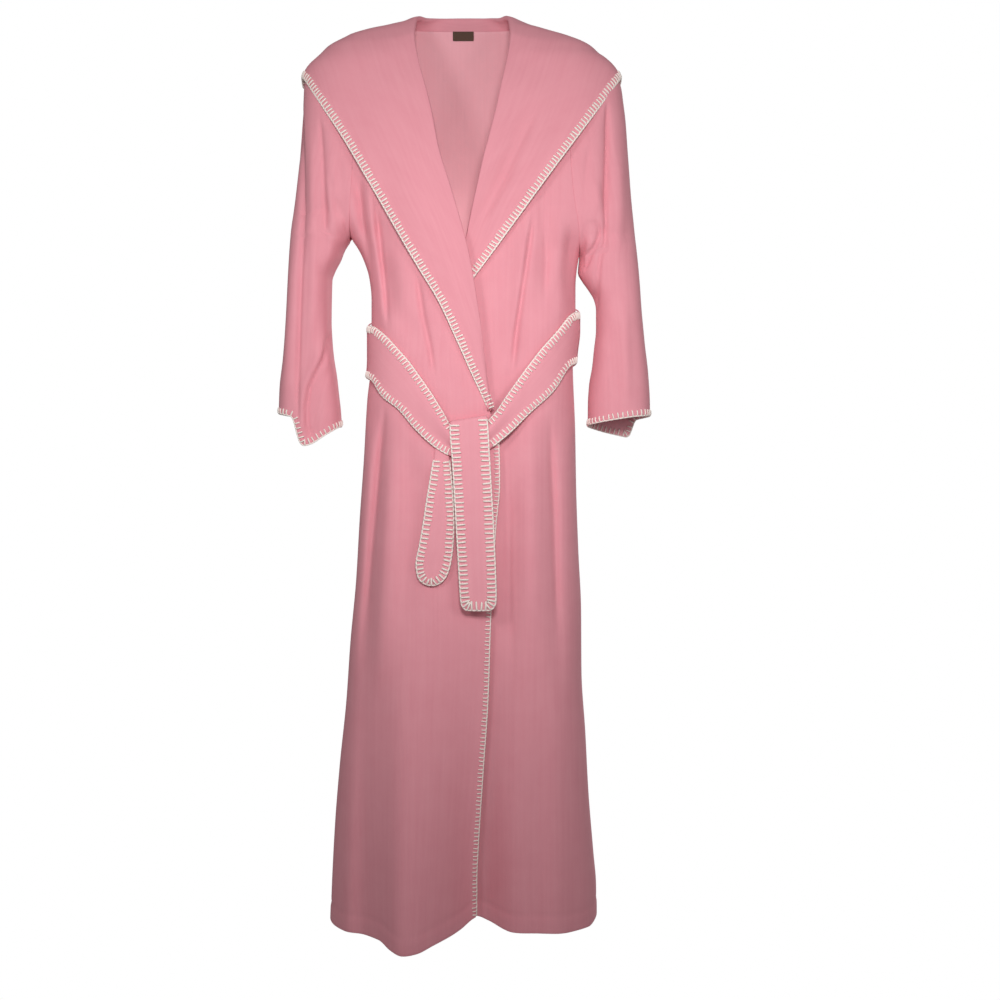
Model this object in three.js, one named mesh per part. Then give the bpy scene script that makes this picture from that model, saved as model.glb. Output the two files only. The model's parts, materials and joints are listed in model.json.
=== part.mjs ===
// Full-length wrap robe in brushed knit, hanging closed and belted from its shoulders.
// Millimetres, +Z up, -Y is the front, +X is the wearer's left. The origin is the seat at the
// back of the neck where a hanger carries the robe.
import * as THREE from 'three';

// ---- driving dimensions -------------------------------------------------------------------
const CLOTH = 2.6;            // modelled thickness of one layer of brushed knit
const BELT_CLOTH = 4.0;       // two layers of the same knit, turned and closed
const WRAP_GAP = 10;          // how far the inner front lies behind the outer front
const COLLAR_LIFT = 13;       // how far the collar's face stands off the chest
const BELT_LIFT = 8;          // how far the belt's face stands off the body
const SEAM = 1.6;             // gap left at a seam between two pieces
const ARM_HINGE_R = [-214, -350]; // x and z of the line each lower sleeve swings about, just below the armpit
const ARM_HINGE_L = [213, -378];
const ARM_ARC_R = 42;         // the lower sleeve's top edge is an arc about that line
const ARM_ARC_L = 43;
const ARM_GAP = 2.5;          // gap between the two arcs
const HEM_Z = -1296;          // nominal hem, the robe is about 1.3 m from neck to hem
const FLAP_TOP_Z = -868;      // where the outer front's free corner starts
const EDGE_YARN = 2.4;        // section of the blanket-stitched edge
const E = 0.75;               // roundness of the hanging body's section

// [z, x] of the body's wearer's-right and wearer's-left sides; above the armpit they include the sleeve heads
const SIDE_R = [[-8, -84], [-18, -106], [-28, -128], [-40, -165], [-52, -190], [-64, -206], [-90, -230], [-122, -234], [-200, -237],
  [-250, -240], [-285, -205], [-319, -164], [-348, -147], [-377, -138], [-406, -135], [-493, -135], [-551, -141], [-638, -146],
  [-725, -152], [-812, -157], [-899, -165], [-986, -171], [-1073, -180], [-1160, -187], [-1247, -191.5], [-1320, -194]];
const SIDE_L = [[-8, 76], [-18, 96], [-28, 112], [-40, 150], [-52, 178], [-64, 195], [-90, 220], [-122, 227], [-200, 235],
  [-270, 240], [-310, 203], [-345, 165], [-391, 160], [-450, 160], [-493, 156], [-594, 159.5], [-681, 161], [-768, 164],
  [-855, 168], [-942, 168.5], [-1030, 174], [-1116, 178.5], [-1203, 185.6], [-1250, 189.5], [-1320, 190]];
// [z, depth] of the front and of the back, measured from the side seams
const FRONT_D = [[-8, 14], [-28, 26], [-40, 34], [-64, 46], [-90, 52], [-122, 57], [-200, 63], [-319, 70], [-450, 76], [-600, 82],
  [-850, 100], [-1100, 112], [-1320, 118]];
const BACK_D = [[-8, 24], [-28, 32], [-64, 42], [-122, 48], [-200, 52], [-319, 56], [-450, 60], [-600, 66], [-850, 82],
  [-1100, 96], [-1320, 102]];
// [z, x] of the armhole seams
const ARMHOLE_R = [[-64, -200], [-76, -186], [-84, -176], [-92, -166], [-104, -156.5], [-122, -152.5], [-160, -152.5], [-200, -154],
  [-250, -157], [-285, -159.5], [-319, -164]];
const ARMHOLE_L = [[-64, 190], [-76, 177], [-84, 167], [-92, 158], [-104, 148.5], [-122, 144.5], [-160, 145], [-200, 147],
  [-270, 153], [-310, 160], [-345, 165]];
// [z, x] of the outer (wearer's right) front's free edge: lapel roll line, then the lap edge
const OUTER_EDGE = [[-28, -82], [-41, -79], [-106, -64], [-188, -45], [-219, -39], [-267, -24], [-335, -4], [-397, 9], [-500, 23],
  [-567, 36], [-617, 48], [-674, 49], [-732, 44], [-762, 42], [-851, 37], [-984, 32.6], [-1068, 27], [-1168, 21], [-1232, 18],
  [-1274, 17], [-1330, 16]];
// [z, x] of the inner (wearer's left) front's free edge
const INNER_EDGE = [[-28, 76], [-41, 73], [-116, 58], [-217, 34], [-334, 6], [-420, -22], [-520, -45], [-620, -55], [-900, -60],
  [-1330, -62]];
// [x, z] of the hem
const OUTER_HEM = [[-195, -1296], [-141, -1298], [-113, -1300], [-81, -1312], [-41, -1303], [-4, -1293], [20, -1284]];
const INNER_HEM = [[-65, -1280], [20, -1283], [35, -1286], [69, -1295], [115, -1294], [150, -1295], [192, -1292]];
const BACK_HEM = [[-195, -1294], [-100, -1290], [0, -1291], [100, -1289], [192, -1291]];
// [z, x] of the collar's outline over the shoulders
const COLLAR_R = [[8, -40], [5.8, -72], [0, -88], [-5.8, -111], [-11.6, -135], [-17.4, -152], [-23.2, -167], [-29, -177],
  [-34.8, -188], [-40.6, -199], [-52, -210], [-58, -217.5], [-72.5, -232], [-87, -237.5], [-130, -242], [-200, -248], [-600, -256]];
const COLLAR_L = [[8, 30], [5.8, 65], [0, 80], [-5.8, 94], [-11.6, 113], [-17.4, 130.5], [-23.2, 146], [-29, 159.5], [-34.8, 172.5],
  [-40.6, 183], [-52, 197], [-58, 206], [-72.5, 220], [-87, 227], [-130, 235], [-200, 243], [-600, 256]];

// ---- helpers ------------------------------------------------------------------------------
const clamp = (x, a, b) => Math.min(b, Math.max(a, x));
const smooth = (t) => { const c = clamp(t, 0, 1); return c * c * (3 - 2 * c); };
const gauss = (x, m, s) => Math.exp(-(((x - m) / s) ** 2));
function table(rows, t) {
  const up = rows[rows.length - 1][0] > rows[0][0];
  for (let i = 1; i < rows.length; i++) {
    const [a, b] = [rows[i - 1], rows[i]];
    if (up ? t <= b[0] : t >= b[0]) {
      const f = clamp((t - a[0]) / (b[0] - a[0]), 0, 1);
      return a[1] + (b[1] - a[1]) * f;
    }
  }
  return rows[rows.length - 1][1];
}
const V = (x, y, z) => new THREE.Vector3(x, y, z);

// soft folds of the skirt, growing from the waist to the hem
function skirtFront(x, z) {
  const t = clamp((-600 - z) / 690, 0, 1) ** 2;
  return t * (38 * gauss(x, -82, 46) - 42 * gauss(x, 21, 42));
}
function skirtBack(x, z) {
  const t = clamp((-560 - z) / 730, 0, 1) ** 1.4;
  return t * 9 * Math.cos((x + 10) / 21);
}
// depth of the front or back surface at (x, z)
function depth(x, z, front, lift = 0, wide = 0) {
  const xl = table(SIDE_R, z) - wide;
  const xr = table(SIDE_L, z) + wide;
  const s = clamp(Math.abs((x - (xl + xr) / 2) / ((xr - xl) / 2)), 0, 1);
  const d = table(front ? FRONT_D : BACK_D, z) + lift;
  const edge = (1 - s ** (2 / E)) ** (E / 2);
  const fold = (front ? skirtFront(x, z) : skirtBack(x, z)) * clamp((1 - s) * 5, 0, 1);
  return d * edge + fold;
}
function collarDepth(x, z, front, lift) {
  const xl = table(COLLAR_R, z);
  const xr = table(COLLAR_L, z);
  const s = clamp(Math.abs((x - (xl + xr) / 2) / ((xr - xl) / 2)), 0, 1);
  const d = table(front ? FRONT_D : BACK_D, Math.min(z, -8)) + lift;
  return d * (1 - s ** (2 / E)) ** (E / 2);
}

// closed solid from a grid of points on its outer face, thickened inwards
function solid(outer, inner) {
  const n = outer.length;
  const m = outer[0].length;
  const pos = [];
  for (const g of [outer, inner]) for (const row of g) for (const p of row) pos.push(p.x, p.y, p.z);
  const id = (s, i, j) => s * n * m + i * m + j;
  let idx = [];
  const quad = (a, b, c, d) => idx.push(a, b, c, a, c, d);
  for (let i = 0; i < n - 1; i++) {
    for (let j = 0; j < m - 1; j++) {
      quad(id(0, i, j), id(0, i + 1, j), id(0, i + 1, j + 1), id(0, i, j + 1));
      quad(id(1, i, j), id(1, i, j + 1), id(1, i + 1, j + 1), id(1, i + 1, j));
    }
  }
  for (let i = 0; i < n - 1; i++) {
    quad(id(0, i, 0), id(1, i, 0), id(1, i + 1, 0), id(0, i + 1, 0));
    quad(id(0, i, m - 1), id(0, i + 1, m - 1), id(1, i + 1, m - 1), id(1, i, m - 1));
  }
  for (let j = 0; j < m - 1; j++) {
    quad(id(0, 0, j), id(0, 0, j + 1), id(1, 0, j + 1), id(1, 0, j));
    quad(id(0, n - 1, j), id(1, n - 1, j), id(1, n - 1, j + 1), id(0, n - 1, j + 1));
  }
  const at = (k) => V(pos[3 * k], pos[3 * k + 1], pos[3 * k + 2]);
  let volume = 0;
  for (let k = 0; k < idx.length; k += 3) volume += at(idx[k]).dot(at(idx[k + 1]).cross(at(idx[k + 2])));
  if (volume < 0) idx = idx.reverse();
  const g = new THREE.BufferGeometry();
  g.setAttribute('position', new THREE.Float32BufferAttribute(pos, 3));
  g.setIndex(idx);
  g.computeVertexNormals();
  return g;
}
// offset of a grid along its level (horizontal) normal, or its full normal
function offset(grid, t, level, cx = 0) {
  const n = grid.length;
  const m = grid[0].length;
  const out = shift(grid, Math.abs(t), level);
  let toward = 0;
  grid.forEach((row, i) => row.forEach((p, j) => {
    toward += (out[i][j].x - p.x) * (cx - p.x) + (out[i][j].y - p.y) * -p.y;
  }));
  return toward > 0 ? out : shift(grid, -Math.abs(t), level);
}
function shift(grid, t, level) {
  const n = grid.length;
  const m = grid[0].length;
  return grid.map((row, i) => row.map((p, j) => {
    const du = row[Math.min(j + 1, m - 1)].clone().sub(row[Math.max(j - 1, 0)]);
    let nn;
    if (level) nn = V(du.y, -du.x, 0);
    else {
      const dv = grid[Math.min(i + 1, n - 1)][j].clone().sub(grid[Math.max(i - 1, 0)][j]);
      nn = du.cross(dv);
    }
    return p.clone().addScaledVector(nn.normalize(), t);
  }));
}
const KNIT = { color: 0xe8a0ab, roughness: 0.95, metalness: 0 };
const YARN = { color: 0xf3eadb, roughness: 0.9, metalness: 0 };
const LABEL = { color: 0x4a3424, roughness: 0.85, metalness: 0 };
const robe = new THREE.Group();
function add(name, geometry, look) {
  const mesh = new THREE.Mesh(geometry, new THREE.MeshStandardMaterial(look));
  mesh.name = name;
  robe.add(mesh);
  return mesh;
}
function cloth(name, grid, t = CLOTH, level = true, look = KNIT, cx = 0) {
  add(name, solid(grid, offset(grid, t, level, cx)), look);
}
// square cord along an edge: pts on the edge, out = directions away from the cloth, face = cloth normals
function edging(name, pts, out, face, gap = 0.6) {
  const h = EDGE_YARN / 2;
  const ring = (p, o, f) => [
    p.clone().addScaledVector(o, gap).addScaledVector(f, -h), p.clone().addScaledVector(o, gap + 2 * h).addScaledVector(f, -h),
    p.clone().addScaledVector(o, gap + 2 * h).addScaledVector(f, h), p.clone().addScaledVector(o, gap).addScaledVector(f, h)];
  const rings = pts.map((p, i) => ring(p, out[i].clone().normalize(), face[i].clone().normalize()));
  const pos = [];
  for (const r of rings) for (const p of r) pos.push(p.x, p.y, p.z);
  let idx = [];
  for (let i = 0; i < rings.length - 1; i++) {
    for (let k = 0; k < 4; k++) {
      const a = 4 * i + k;
      const b = 4 * i + ((k + 1) % 4);
      idx.push(a, b, b + 4, a, b + 4, a + 4);
    }
  }
  const e = 4 * (rings.length - 1);
  idx.push(0, 2, 1, 0, 3, 2, e, e + 1, e + 2, e, e + 2, e + 3);
  const at = (k) => V(pos[3 * k], pos[3 * k + 1], pos[3 * k + 2]);
  let volume = 0;
  for (let k = 0; k < idx.length; k += 3) volume += at(idx[k]).dot(at(idx[k + 1]).cross(at(idx[k + 2])));
  if (volume < 0) idx = idx.reverse();
  const g = new THREE.BufferGeometry();
  g.setAttribute('position', new THREE.Float32BufferAttribute(pos, 3));
  g.setIndex(idx);
  g.computeVertexNormals();
  add(name, g, YARN);
}
// edging along a grid's line: which = 'first' | 'last' column or 'bottom' row, at mid thickness
function edgeOf(name, grid, which, t, level = true, cx = 0) {
  const n = grid.length;
  const m = grid[0].length;
  const inner = offset(grid, t, level, cx);
  const pts = []; const out = []; const face = [];
  const count = which === 'bottom' ? m : n;
  for (let k = 0; k < count; k++) {
    const [i, j, i2, j2] = which === 'first' ? [k, 0, k, 1] : which === 'last' ? [k, m - 1, k, m - 2] : [n - 1, k, n - 2, k];
    const p = grid[i][j].clone().add(inner[i][j]).multiplyScalar(0.5);
    const q = grid[i2][j2].clone().add(inner[i2][j2]).multiplyScalar(0.5);
    const f = grid[i][j].clone().sub(inner[i][j]).normalize();
    const o = p.clone().sub(q);
    const a = which === 'bottom' ? grid[n - 1][Math.max(k - 1, 0)] : grid[Math.max(k - 1, 0)][j];
    const b = which === 'bottom' ? grid[n - 1][Math.min(k + 1, m - 1)] : grid[Math.min(k + 1, n - 1)][j];
    const tan = b.clone().sub(a).normalize();
    o.addScaledVector(tan, -o.dot(tan));
    o.addScaledVector(f, -o.dot(f)).normalize();
    pts.push(p); out.push(o); face.push(f);
  }
  edging(name, pts, out, face);
}
const steps = (a, b, n) => Array.from({ length: n + 1 }, (_, i) => a + ((b - a) * i) / n);

// ---- body panels --------------------------------------------------------------------------
// level of the section where x lies, as a point of the front (or back) surface
function bodyRow(z, x0, x1, n, front, inset) {
  const xl = table(SIDE_R, z);
  const xr = table(SIDE_L, z);
  const xc = (xl + xr) / 2;
  const hw = (xr - xl) / 2;
  const ang = (x) => Math.acos(clamp((x - xc) / hw, -1, 1) * Math.abs((x - xc) / hw || 1) ** (1 / E - 1));
  const [a0, a1] = [ang(x0), ang(x1)];
  return steps(0, 1, n).map((f) => {
    const a = a0 + (a1 - a0) * f;
    const c = Math.cos(a);
    const x = xc + hw * Math.sign(c) * Math.abs(c) ** E;
    const y = Math.max(SEAM / 2, depth(x, z, front) - (inset ? inset(x, z) : 0));
    return [x, front ? -y : y];
  });
}
const armOrSideR = (z) => (z < -319 ? table(SIDE_R, z) : z > -64 ? table(SIDE_R, z) : table(ARMHOLE_R, z));
const armOrSideL = (z) => (z < -345 ? table(SIDE_L, z) : z > -64 ? table(SIDE_L, z) : table(ARMHOLE_L, z));
const Z_TOP = [-28, -46, -64, -76, -90, -106, -122, -160, -205, -250, -285, -305, -319, -348, -385, -450, -520, -580,
  -638, -740, -866];
const Z_LOW = [-872, -950, -1030, -1110, -1190, -1250];
// the last row follows the hem curve
function hemRow(row, hem) { return row.map(([x, y]) => V(x, y, table(hem, x))); }
const lift3 = (row, z) => row.map(([x, y]) => V(x, y, z));

const crest = (z) => -52 + (z + 870) * (30 / 450);
function rightFront() {
  const rows = Z_TOP.map((z) => lift3(bodyRow(z, armOrSideR(z), table(OUTER_EDGE, z), 9, true), z));
  for (const z of Z_LOW) rows.push(lift3(bodyRow(z, table(SIDE_R, z), crest(z) - 2, 9, true), z));
  rows.push(hemRow(bodyRow(-1290, table(SIDE_R, -1290), crest(-1290) - 2, 9, true), OUTER_HEM));
  return rows;
}
function rightFlap() {
  const rows = [-874, ...Z_LOW.slice(1)].map((z) => lift3(bodyRow(z, crest(z) + 2, table(OUTER_EDGE, z), 8, true), z));
  rows.push(hemRow(bodyRow(-1290, crest(-1290) + 2, table(OUTER_EDGE, -1290), 8, true), OUTER_HEM));
  return rows;
}
const inset = (x) => WRAP_GAP * (1 - smooth((x - 55) / 45));
function leftFront() {
  const rows = [...Z_TOP, ...Z_LOW].map((z) => lift3(bodyRow(z, table(INNER_EDGE, z), armOrSideL(z), 14, true,
    (x) => (z < -200 ? inset(x) * smooth((-200 - z) / 60) : 0)), z));
  rows.push(hemRow(bodyRow(-1282, table(INNER_EDGE, -1282), table(SIDE_L, -1282), 14, true, inset), INNER_HEM));
  return rows;
}
// the back is one panel below the shoulder blades and a three-piece yoke above it
const YOKE_Z = [-10, -18, -28, -46, -64, -76, -90, -106, -121.2];
const NECK_X = [-58, 50];
function backPanel() {
  const zs = [-122.8, ...Z_TOP.filter((z) => z < -122), ...Z_LOW];
  const rows = zs.map((z) => lift3(bodyRow(z, armOrSideR(z), armOrSideL(z), 15, false), z));
  rows.push(hemRow(bodyRow(-1285, table(SIDE_R, -1285), table(SIDE_L, -1285), 15, false), BACK_HEM));
  return rows;
}
const yoke = (x0, x1, n) => YOKE_Z.map((z) => lift3(bodyRow(z, x0(z), x1(z), n, false), z));
const flip = (g) => g.map((r) => [...r].reverse());
const outerGrid = rightFront();
const flapGrid = rightFlap();
const innerGrid = leftFront();
const backGrid = flip(backPanel());
cloth('right_front_panel', outerGrid, -CLOTH);
cloth('right_front_flap', flapGrid, -CLOTH);
cloth('left_front_panel', innerGrid, -CLOTH);
cloth('back_panel', backGrid, -CLOTH);
cloth('back_yoke_right', flip(yoke(armOrSideR, () => NECK_X[0] - 0.8, 7)), -CLOTH);
cloth('back_yoke_centre', flip(yoke(() => NECK_X[0] + 0.8, () => NECK_X[1] - 0.8, 7)), -CLOTH);
cloth('back_yoke_left', flip(yoke(() => NECK_X[1] + 0.8, armOrSideL, 7)), -CLOTH);
{
  const cut = (g, a, b) => g.slice(a, b);
  const k = Z_TOP.indexOf(-638);
  edgeOf('front_edge_stitch_upper', cut(outerGrid, k, Z_TOP.length), 'last', -CLOTH);
  edgeOf('front_edge_stitch_lower', flapGrid, 'last', -CLOTH);
  edgeOf('inner_edge_stitch', cut(innerGrid, Z_TOP.indexOf(-385), innerGrid.length), 'first', -CLOTH);
}

// ---- sleeves ------------------------------------------------------------------------------
// [z, outer side x, inner side x, half depth, half angle of the opening towards the body]
const SLEEVE_R = [[-84, -208.5, -184, 30, 90], [-92, -222.5, -169.5, 40, 90], [-104, -231, -160.5, 45, 90], [-122, -235, -156.5, 49, 90],
  [-160, -235, -157, 51, 90], [-200, -239, -159, 53, 90], [-250, -243, -162.5, 53, 84], [-285, -246, -166.5, 49, 62],
  [-310, -248, -170, 45, 32], [-325, -249.5, -173, 43.5, 3], [-377, -254, -194, 43, 2], [-435, -257.5, -194, 43, 2],
  [-493, -262.5, -190, 42, 2], [-551, -268, -183, 41, 2], [-600, -268.5, -180, 40, 2]];
const SLEEVE_L = [[-84, 199.5, 175, 30, 90], [-92, 214, 161.5, 40, 90], [-104, 223, 152.5, 45, 90], [-122, 228, 149, 49, 90],
  [-160, 230, 150, 51, 90], [-200, 236, 152, 53, 90], [-270, 241, 158, 53, 84], [-310, 245, 165, 49, 62],
  [-335, 248, 169, 45, 32], [-350, 249.5, 170.5, 43.5, 3], [-391, 253, 180, 43, 2], [-435, 256, 190, 43, 2],
  [-493, 262.5, 186, 42, 2], [-551, 267, 179, 41, 2], [-597, 268, 178.5, 40, 2]];
const SLEEVE_BACK = 0.82;     // the back of the sleeve is flatter than its front
const SLEEVE_COLS = 16;
// point of the sleeve's section at height z, f = 0..1 round it from the front of its opening to the back
function sleevePoint(rows, z, f) {
  const col = (k) => table(rows.map((r) => [r[0], r[k]]), z);
  const [xo, xi, hd, open] = [col(1), col(2), col(3), col(4)];
  const k = Math.cos((open * Math.PI) / 180) ** 0.8;
  const hw = (xi - xo) / (1 + k);
  const a = ((open + (360 - 2 * open) * f) * Math.PI) / 180;
  const c = Math.cos(a);
  const s = Math.sin(a);
  const y = -hd * Math.sign(s) * Math.abs(s) ** 0.8;
  return V(xo + hw + hw * Math.sign(c) * Math.abs(c) ** 0.8, y > 0 ? y * SLEEVE_BACK : y, z);
}
const sleeveRow = (rows, z) => steps(0, 1, SLEEVE_COLS).map((f) => sleevePoint(rows, z, f));
// row whose height follows an arc of the given radius about the arm's hinge
function arcRow(rows, [hx, hz], radius) {
  return steps(0, 1, SLEEVE_COLS).map((f) => {
    let z = hz + radius * 0.5;
    for (let i = 0; i < 60; i++) {
      const dx = sleevePoint(rows, z, f).x - hx;
      z += 0.35 * (hz + Math.sqrt(Math.max(0, radius * radius - dx * dx)) - z);
    }
    return sleevePoint(rows, z, f);
  });
}
// the part of the sleeve above the arc stays with the body, the part below it swings
function upperSleeve(rows, hinge, radius) {
  const end = arcRow(rows, hinge, radius);
  const zs = rows.map((r) => r[0]).filter((z) => z >= -285);
  const grid = zs.map((z) => sleeveRow(rows, z));
  const last = zs[zs.length - 1];
  for (const g of [0.45]) grid.push(end.map((p, j) => sleevePoint(rows, last + (p.z - last) * g, j / SLEEVE_COLS)));
  grid.push(end);
  return grid;
}
function lowerSleeve(rows, hinge, radius) {
  const top = arcRow(rows, hinge, radius);
  const zs = rows.map((r) => r[0]).filter((z) => z < hinge[1] - 10);
  return [top, ...zs.map((z) => sleeveRow(rows, z))];
}
const capR = upperSleeve(SLEEVE_R, ARM_HINGE_R, ARM_ARC_R + ARM_GAP);
const capL = upperSleeve(SLEEVE_L, ARM_HINGE_L, ARM_ARC_L + ARM_GAP);
const sleeveR = lowerSleeve(SLEEVE_R, ARM_HINGE_R, ARM_ARC_R);
const sleeveL = lowerSleeve(SLEEVE_L, ARM_HINGE_L, ARM_ARC_L);
cloth('right_sleeve_head', capR, CLOTH, true, KNIT, -205);
cloth('left_sleeve_head', capL, CLOTH, true, KNIT, 200);
cloth('right_sleeve', sleeveR, CLOTH, true, KNIT, -205);
cloth('left_sleeve', sleeveL, CLOTH, true, KNIT, 200);
edgeOf('right_cuff_stitch', sleeveR, 'bottom', CLOTH, true, -205);
edgeOf('left_cuff_stitch', sleeveL, 'bottom', CLOTH, true, 200);

// ---- collar -------------------------------------------------------------------------------
// height of the collar's ridge over the shoulder at x
function ridge(x) {
  const t = x < 0 ? COLLAR_R : COLLAR_L;
  for (let i = 1; i < t.length; i++) {
    if (Math.abs(t[i][1]) >= Math.abs(x)) {
      const f = clamp((Math.abs(x) - Math.abs(t[i - 1][1])) / (Math.abs(t[i][1]) - Math.abs(t[i - 1][1])), 0, 1);
      return t[i - 1][0] + (t[i][0] - t[i - 1][0]) * f;
    }
  }
  return -87;
}
// (x, l): l is how far below the ridge, negative in front, positive behind
function collarPoint(x, l) {
  const z = ridge(x) - Math.abs(l);
  const y = collarDepth(x, z, l < 0, COLLAR_LIFT + (l < 0 ? 0 : 8));
  return V(x, l < 0 ? -y : y, z);
}
// roll point and outer point of each station, as [x, l]
const HALF_R = [[[-63, -96], [-205, -82]], [[-67, -55], [-223, -45]], [[-71, -22], [-233, -16]], [[-73, -3], [-237, -2]],
  [[-72, 3], [-236, 3]], [[-68, 8], [-232, 22]], [[-58, 10], [-205, 75]], [[-40, 11], [-145, 128]], [[-20, 12], [-70, 170]],
  [[-1, 12], [-1.2, 186]]];
const HALF_L = HALF_R.map(([r, o]) => [[-r[0] * 0.93, r[1]], [-o[0] * 0.955, o[1]]]);
function half(list) {
  return list.map(([r, o]) => steps(0, 1, 6).map((f) => {
    const x = r[0] + (o[0] - r[0]) * f;
    const l = r[1] + (o[1] - r[1]) * f;
    return collarPoint(x, l);
  }));
}
const collarR = half(HALF_R);
const collarL = half(HALF_L);
cloth('right_collar', collarR, -CLOTH, false);
cloth('left_collar', collarL, CLOTH, false);
edgeOf('right_collar_stitch', collarR, 'last', -CLOTH, false);
edgeOf('left_collar_stitch', collarL, 'last', CLOTH, false);
// lapels: roll point and outer point of each station, as [x, z]
const LAPEL_R = [[[-60, -99], [-202, -136]], [[-50, -140], [-176, -176]], [[-40, -188], [-133, -247]], [[-20, -262], [-80, -339]],
  [[3, -335], [-44, -402]], [[15.7, -397], [-8, -475]], [[29, -485], [22, -545]], [[36, -545], [35, -567]]];
const LAPEL_L = [[[57, -99], [190, -137]], [[49, -130], [161, -179]], [[38, -176], [118, -236]], [[28, -217], [85, -282]],
  [[15, -275], [50, -330]], [[9, -312], [24, -362]]];
function lapel(list) {
  return list.map(([r, o]) => steps(0, 1, 5).map((f) => {
    const x = r[0] + (o[0] - r[0]) * f;
    const z = r[1] + (o[1] - r[1]) * f;
    return V(x, -collarDepth(x, z, true, COLLAR_LIFT), z);
  }));
}
const lapelR = lapel(LAPEL_R);
const lapelL = lapel(LAPEL_L);
cloth('right_lapel', lapelR, -CLOTH, false);
cloth('left_lapel', lapelL, CLOTH, false);
edgeOf('right_lapel_stitch', lapelR, 'last', -CLOTH, false);
edgeOf('left_lapel_stitch', lapelL, 'last', CLOTH, false);

// ---- neck label, sewn inside the back neck -------------------------------------------------
{
  const rows = [-12, -20, -30].map((z) => steps(-26, 16, 4).map((x) => V(x, depth(x, z, false) - CLOTH - 0.8, z)));
  cloth('neck_label', rows, 0.8, true, LABEL);
}

// ---- belt ---------------------------------------------------------------------------------
// [x, z of the top edge, z of the bottom edge] along the two front runs
const RUN_R = [[-124, -454, -530], [-112, -466, -546], [-90, -493, -566], [-65, -525, -596], [-42, -555, -619], [-20, -592, -630],
  [0, -606, -634]];
const RUN_L = [[148, -438, -508], [126, -465, -540], [93, -508, -571], [62, -551, -602], [38, -583, -624], [6, -604, -634]];
function run(list) {
  return list.map(([x, t, b]) => steps(0, 1, 3).map((f) => {
    const z = t + (b - t) * f;
    return V(x, -depth(x, z, true, BELT_LIFT, BELT_LIFT), z);
  }));
}
const runR = run(RUN_R);
const runL = run(RUN_L);
cloth('belt_right_run', runR, BELT_CLOTH, false);
cloth('belt_left_run', runL, -BELT_CLOTH, false);
edgeOf('belt_right_run_stitch_top', runR.slice(0, 6), 'first', BELT_CLOTH, false);
edgeOf('belt_right_run_stitch_bottom', runR.slice(0, 5), 'last', BELT_CLOTH, false);
edgeOf('belt_left_run_stitch_top', runL.slice(0, 5), 'first', -BELT_CLOTH, false);
edgeOf('belt_left_run_stitch_bottom', runL.slice(0, 5), 'last', -BELT_CLOTH, false);
function backRun() {
  const n = 22;
  return steps(0, 1, n).map((f) => {
    // from the wearer's right front side, round the back, to the left front side
    const a = Math.PI + 0.14 - f * (Math.PI + 0.28);
    const c = Math.cos(a);
    const s = Math.sin(a);
    const side = smooth(Math.abs(f - 0.5) * 2.6 - 0.3);
    const top = -452 + side * (f < 0.5 ? 2 : 20);
    const bottom = -508 + side * (f < 0.5 ? -12 : 6);
    return steps(0, 1, 3).map((g) => {
      const z = top + (bottom - top) * g;
      const xl = table(SIDE_R, z) - BELT_LIFT;
      const xr = table(SIDE_L, z) + BELT_LIFT;
      const x = (xl + xr) / 2 + ((xr - xl) / 2) * Math.sign(c) * Math.abs(c) ** E;
      const d = s > 0 ? table(BACK_D, z) + BELT_LIFT : table(FRONT_D, z) + BELT_LIFT;
      return V(x, d * Math.sign(s) * Math.abs(s) ** E, z);
    });
  });
}
const runB = backRun();
cloth('belt_back_run', runB, -BELT_CLOTH, false);
edgeOf('belt_back_run_stitch_top', runB, 'first', -BELT_CLOTH, false);
edgeOf('belt_back_run_stitch_bottom', runB, 'last', -BELT_CLOTH, false);

// knot: the belt's end folded once over the crossing
{
  const shape = new THREE.Shape();
  shape.moveTo(-27, -14); shape.lineTo(24, -14); shape.lineTo(28, -9); shape.lineTo(26, 12); shape.lineTo(20, 16);
  shape.lineTo(-22, 12); shape.lineTo(-28, 7); shape.lineTo(-30, -8); shape.lineTo(-27, -14);
  const g = new THREE.ExtrudeGeometry(shape, { depth: 13, bevelEnabled: false, steps: 1 });
  g.rotateX(Math.PI / 2);
  g.translate(11, -(82 + BELT_LIFT + 8.5), -604);
  g.deleteAttribute('uv');
  add('belt_knot', g, KNIT);
}
// tails: [z, x of the right edge, x of the left edge]
function tail(rows, lift) {
  return rows.map(([z, a, b]) => steps(0, 1, 4).map((f) => {
    const x = a + (b - a) * f;
    return V(x, -(depth(x, z, true) + lift), z);
  }));
}
const TAIL_F = [[-626, -12.5, 33.5], [-674, -10.5, 37], [-732, -7.5, 40], [-790, -4, 43], [-825, -1.5, 43.5], [-840, 0, 41], [-845, 3, 36]];
const TAIL_B = [[-636, -39.5, -22], [-660, -43, -19], [-700, -49.5, -16], [-728, -53.5, -15.5], [-760, -58.5, -17.5], [-788, -63.5, -20.5],
  [-800, -62, -25], [-810, -55.5, -33], [-813, -50, -39]];
const tailF = tail(TAIL_F, 14);
const tailB = tail(TAIL_B, 9);
cloth('belt_front_tail', tailF, -BELT_CLOTH);
cloth('belt_back_tail', tailB, -BELT_CLOTH);
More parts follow.
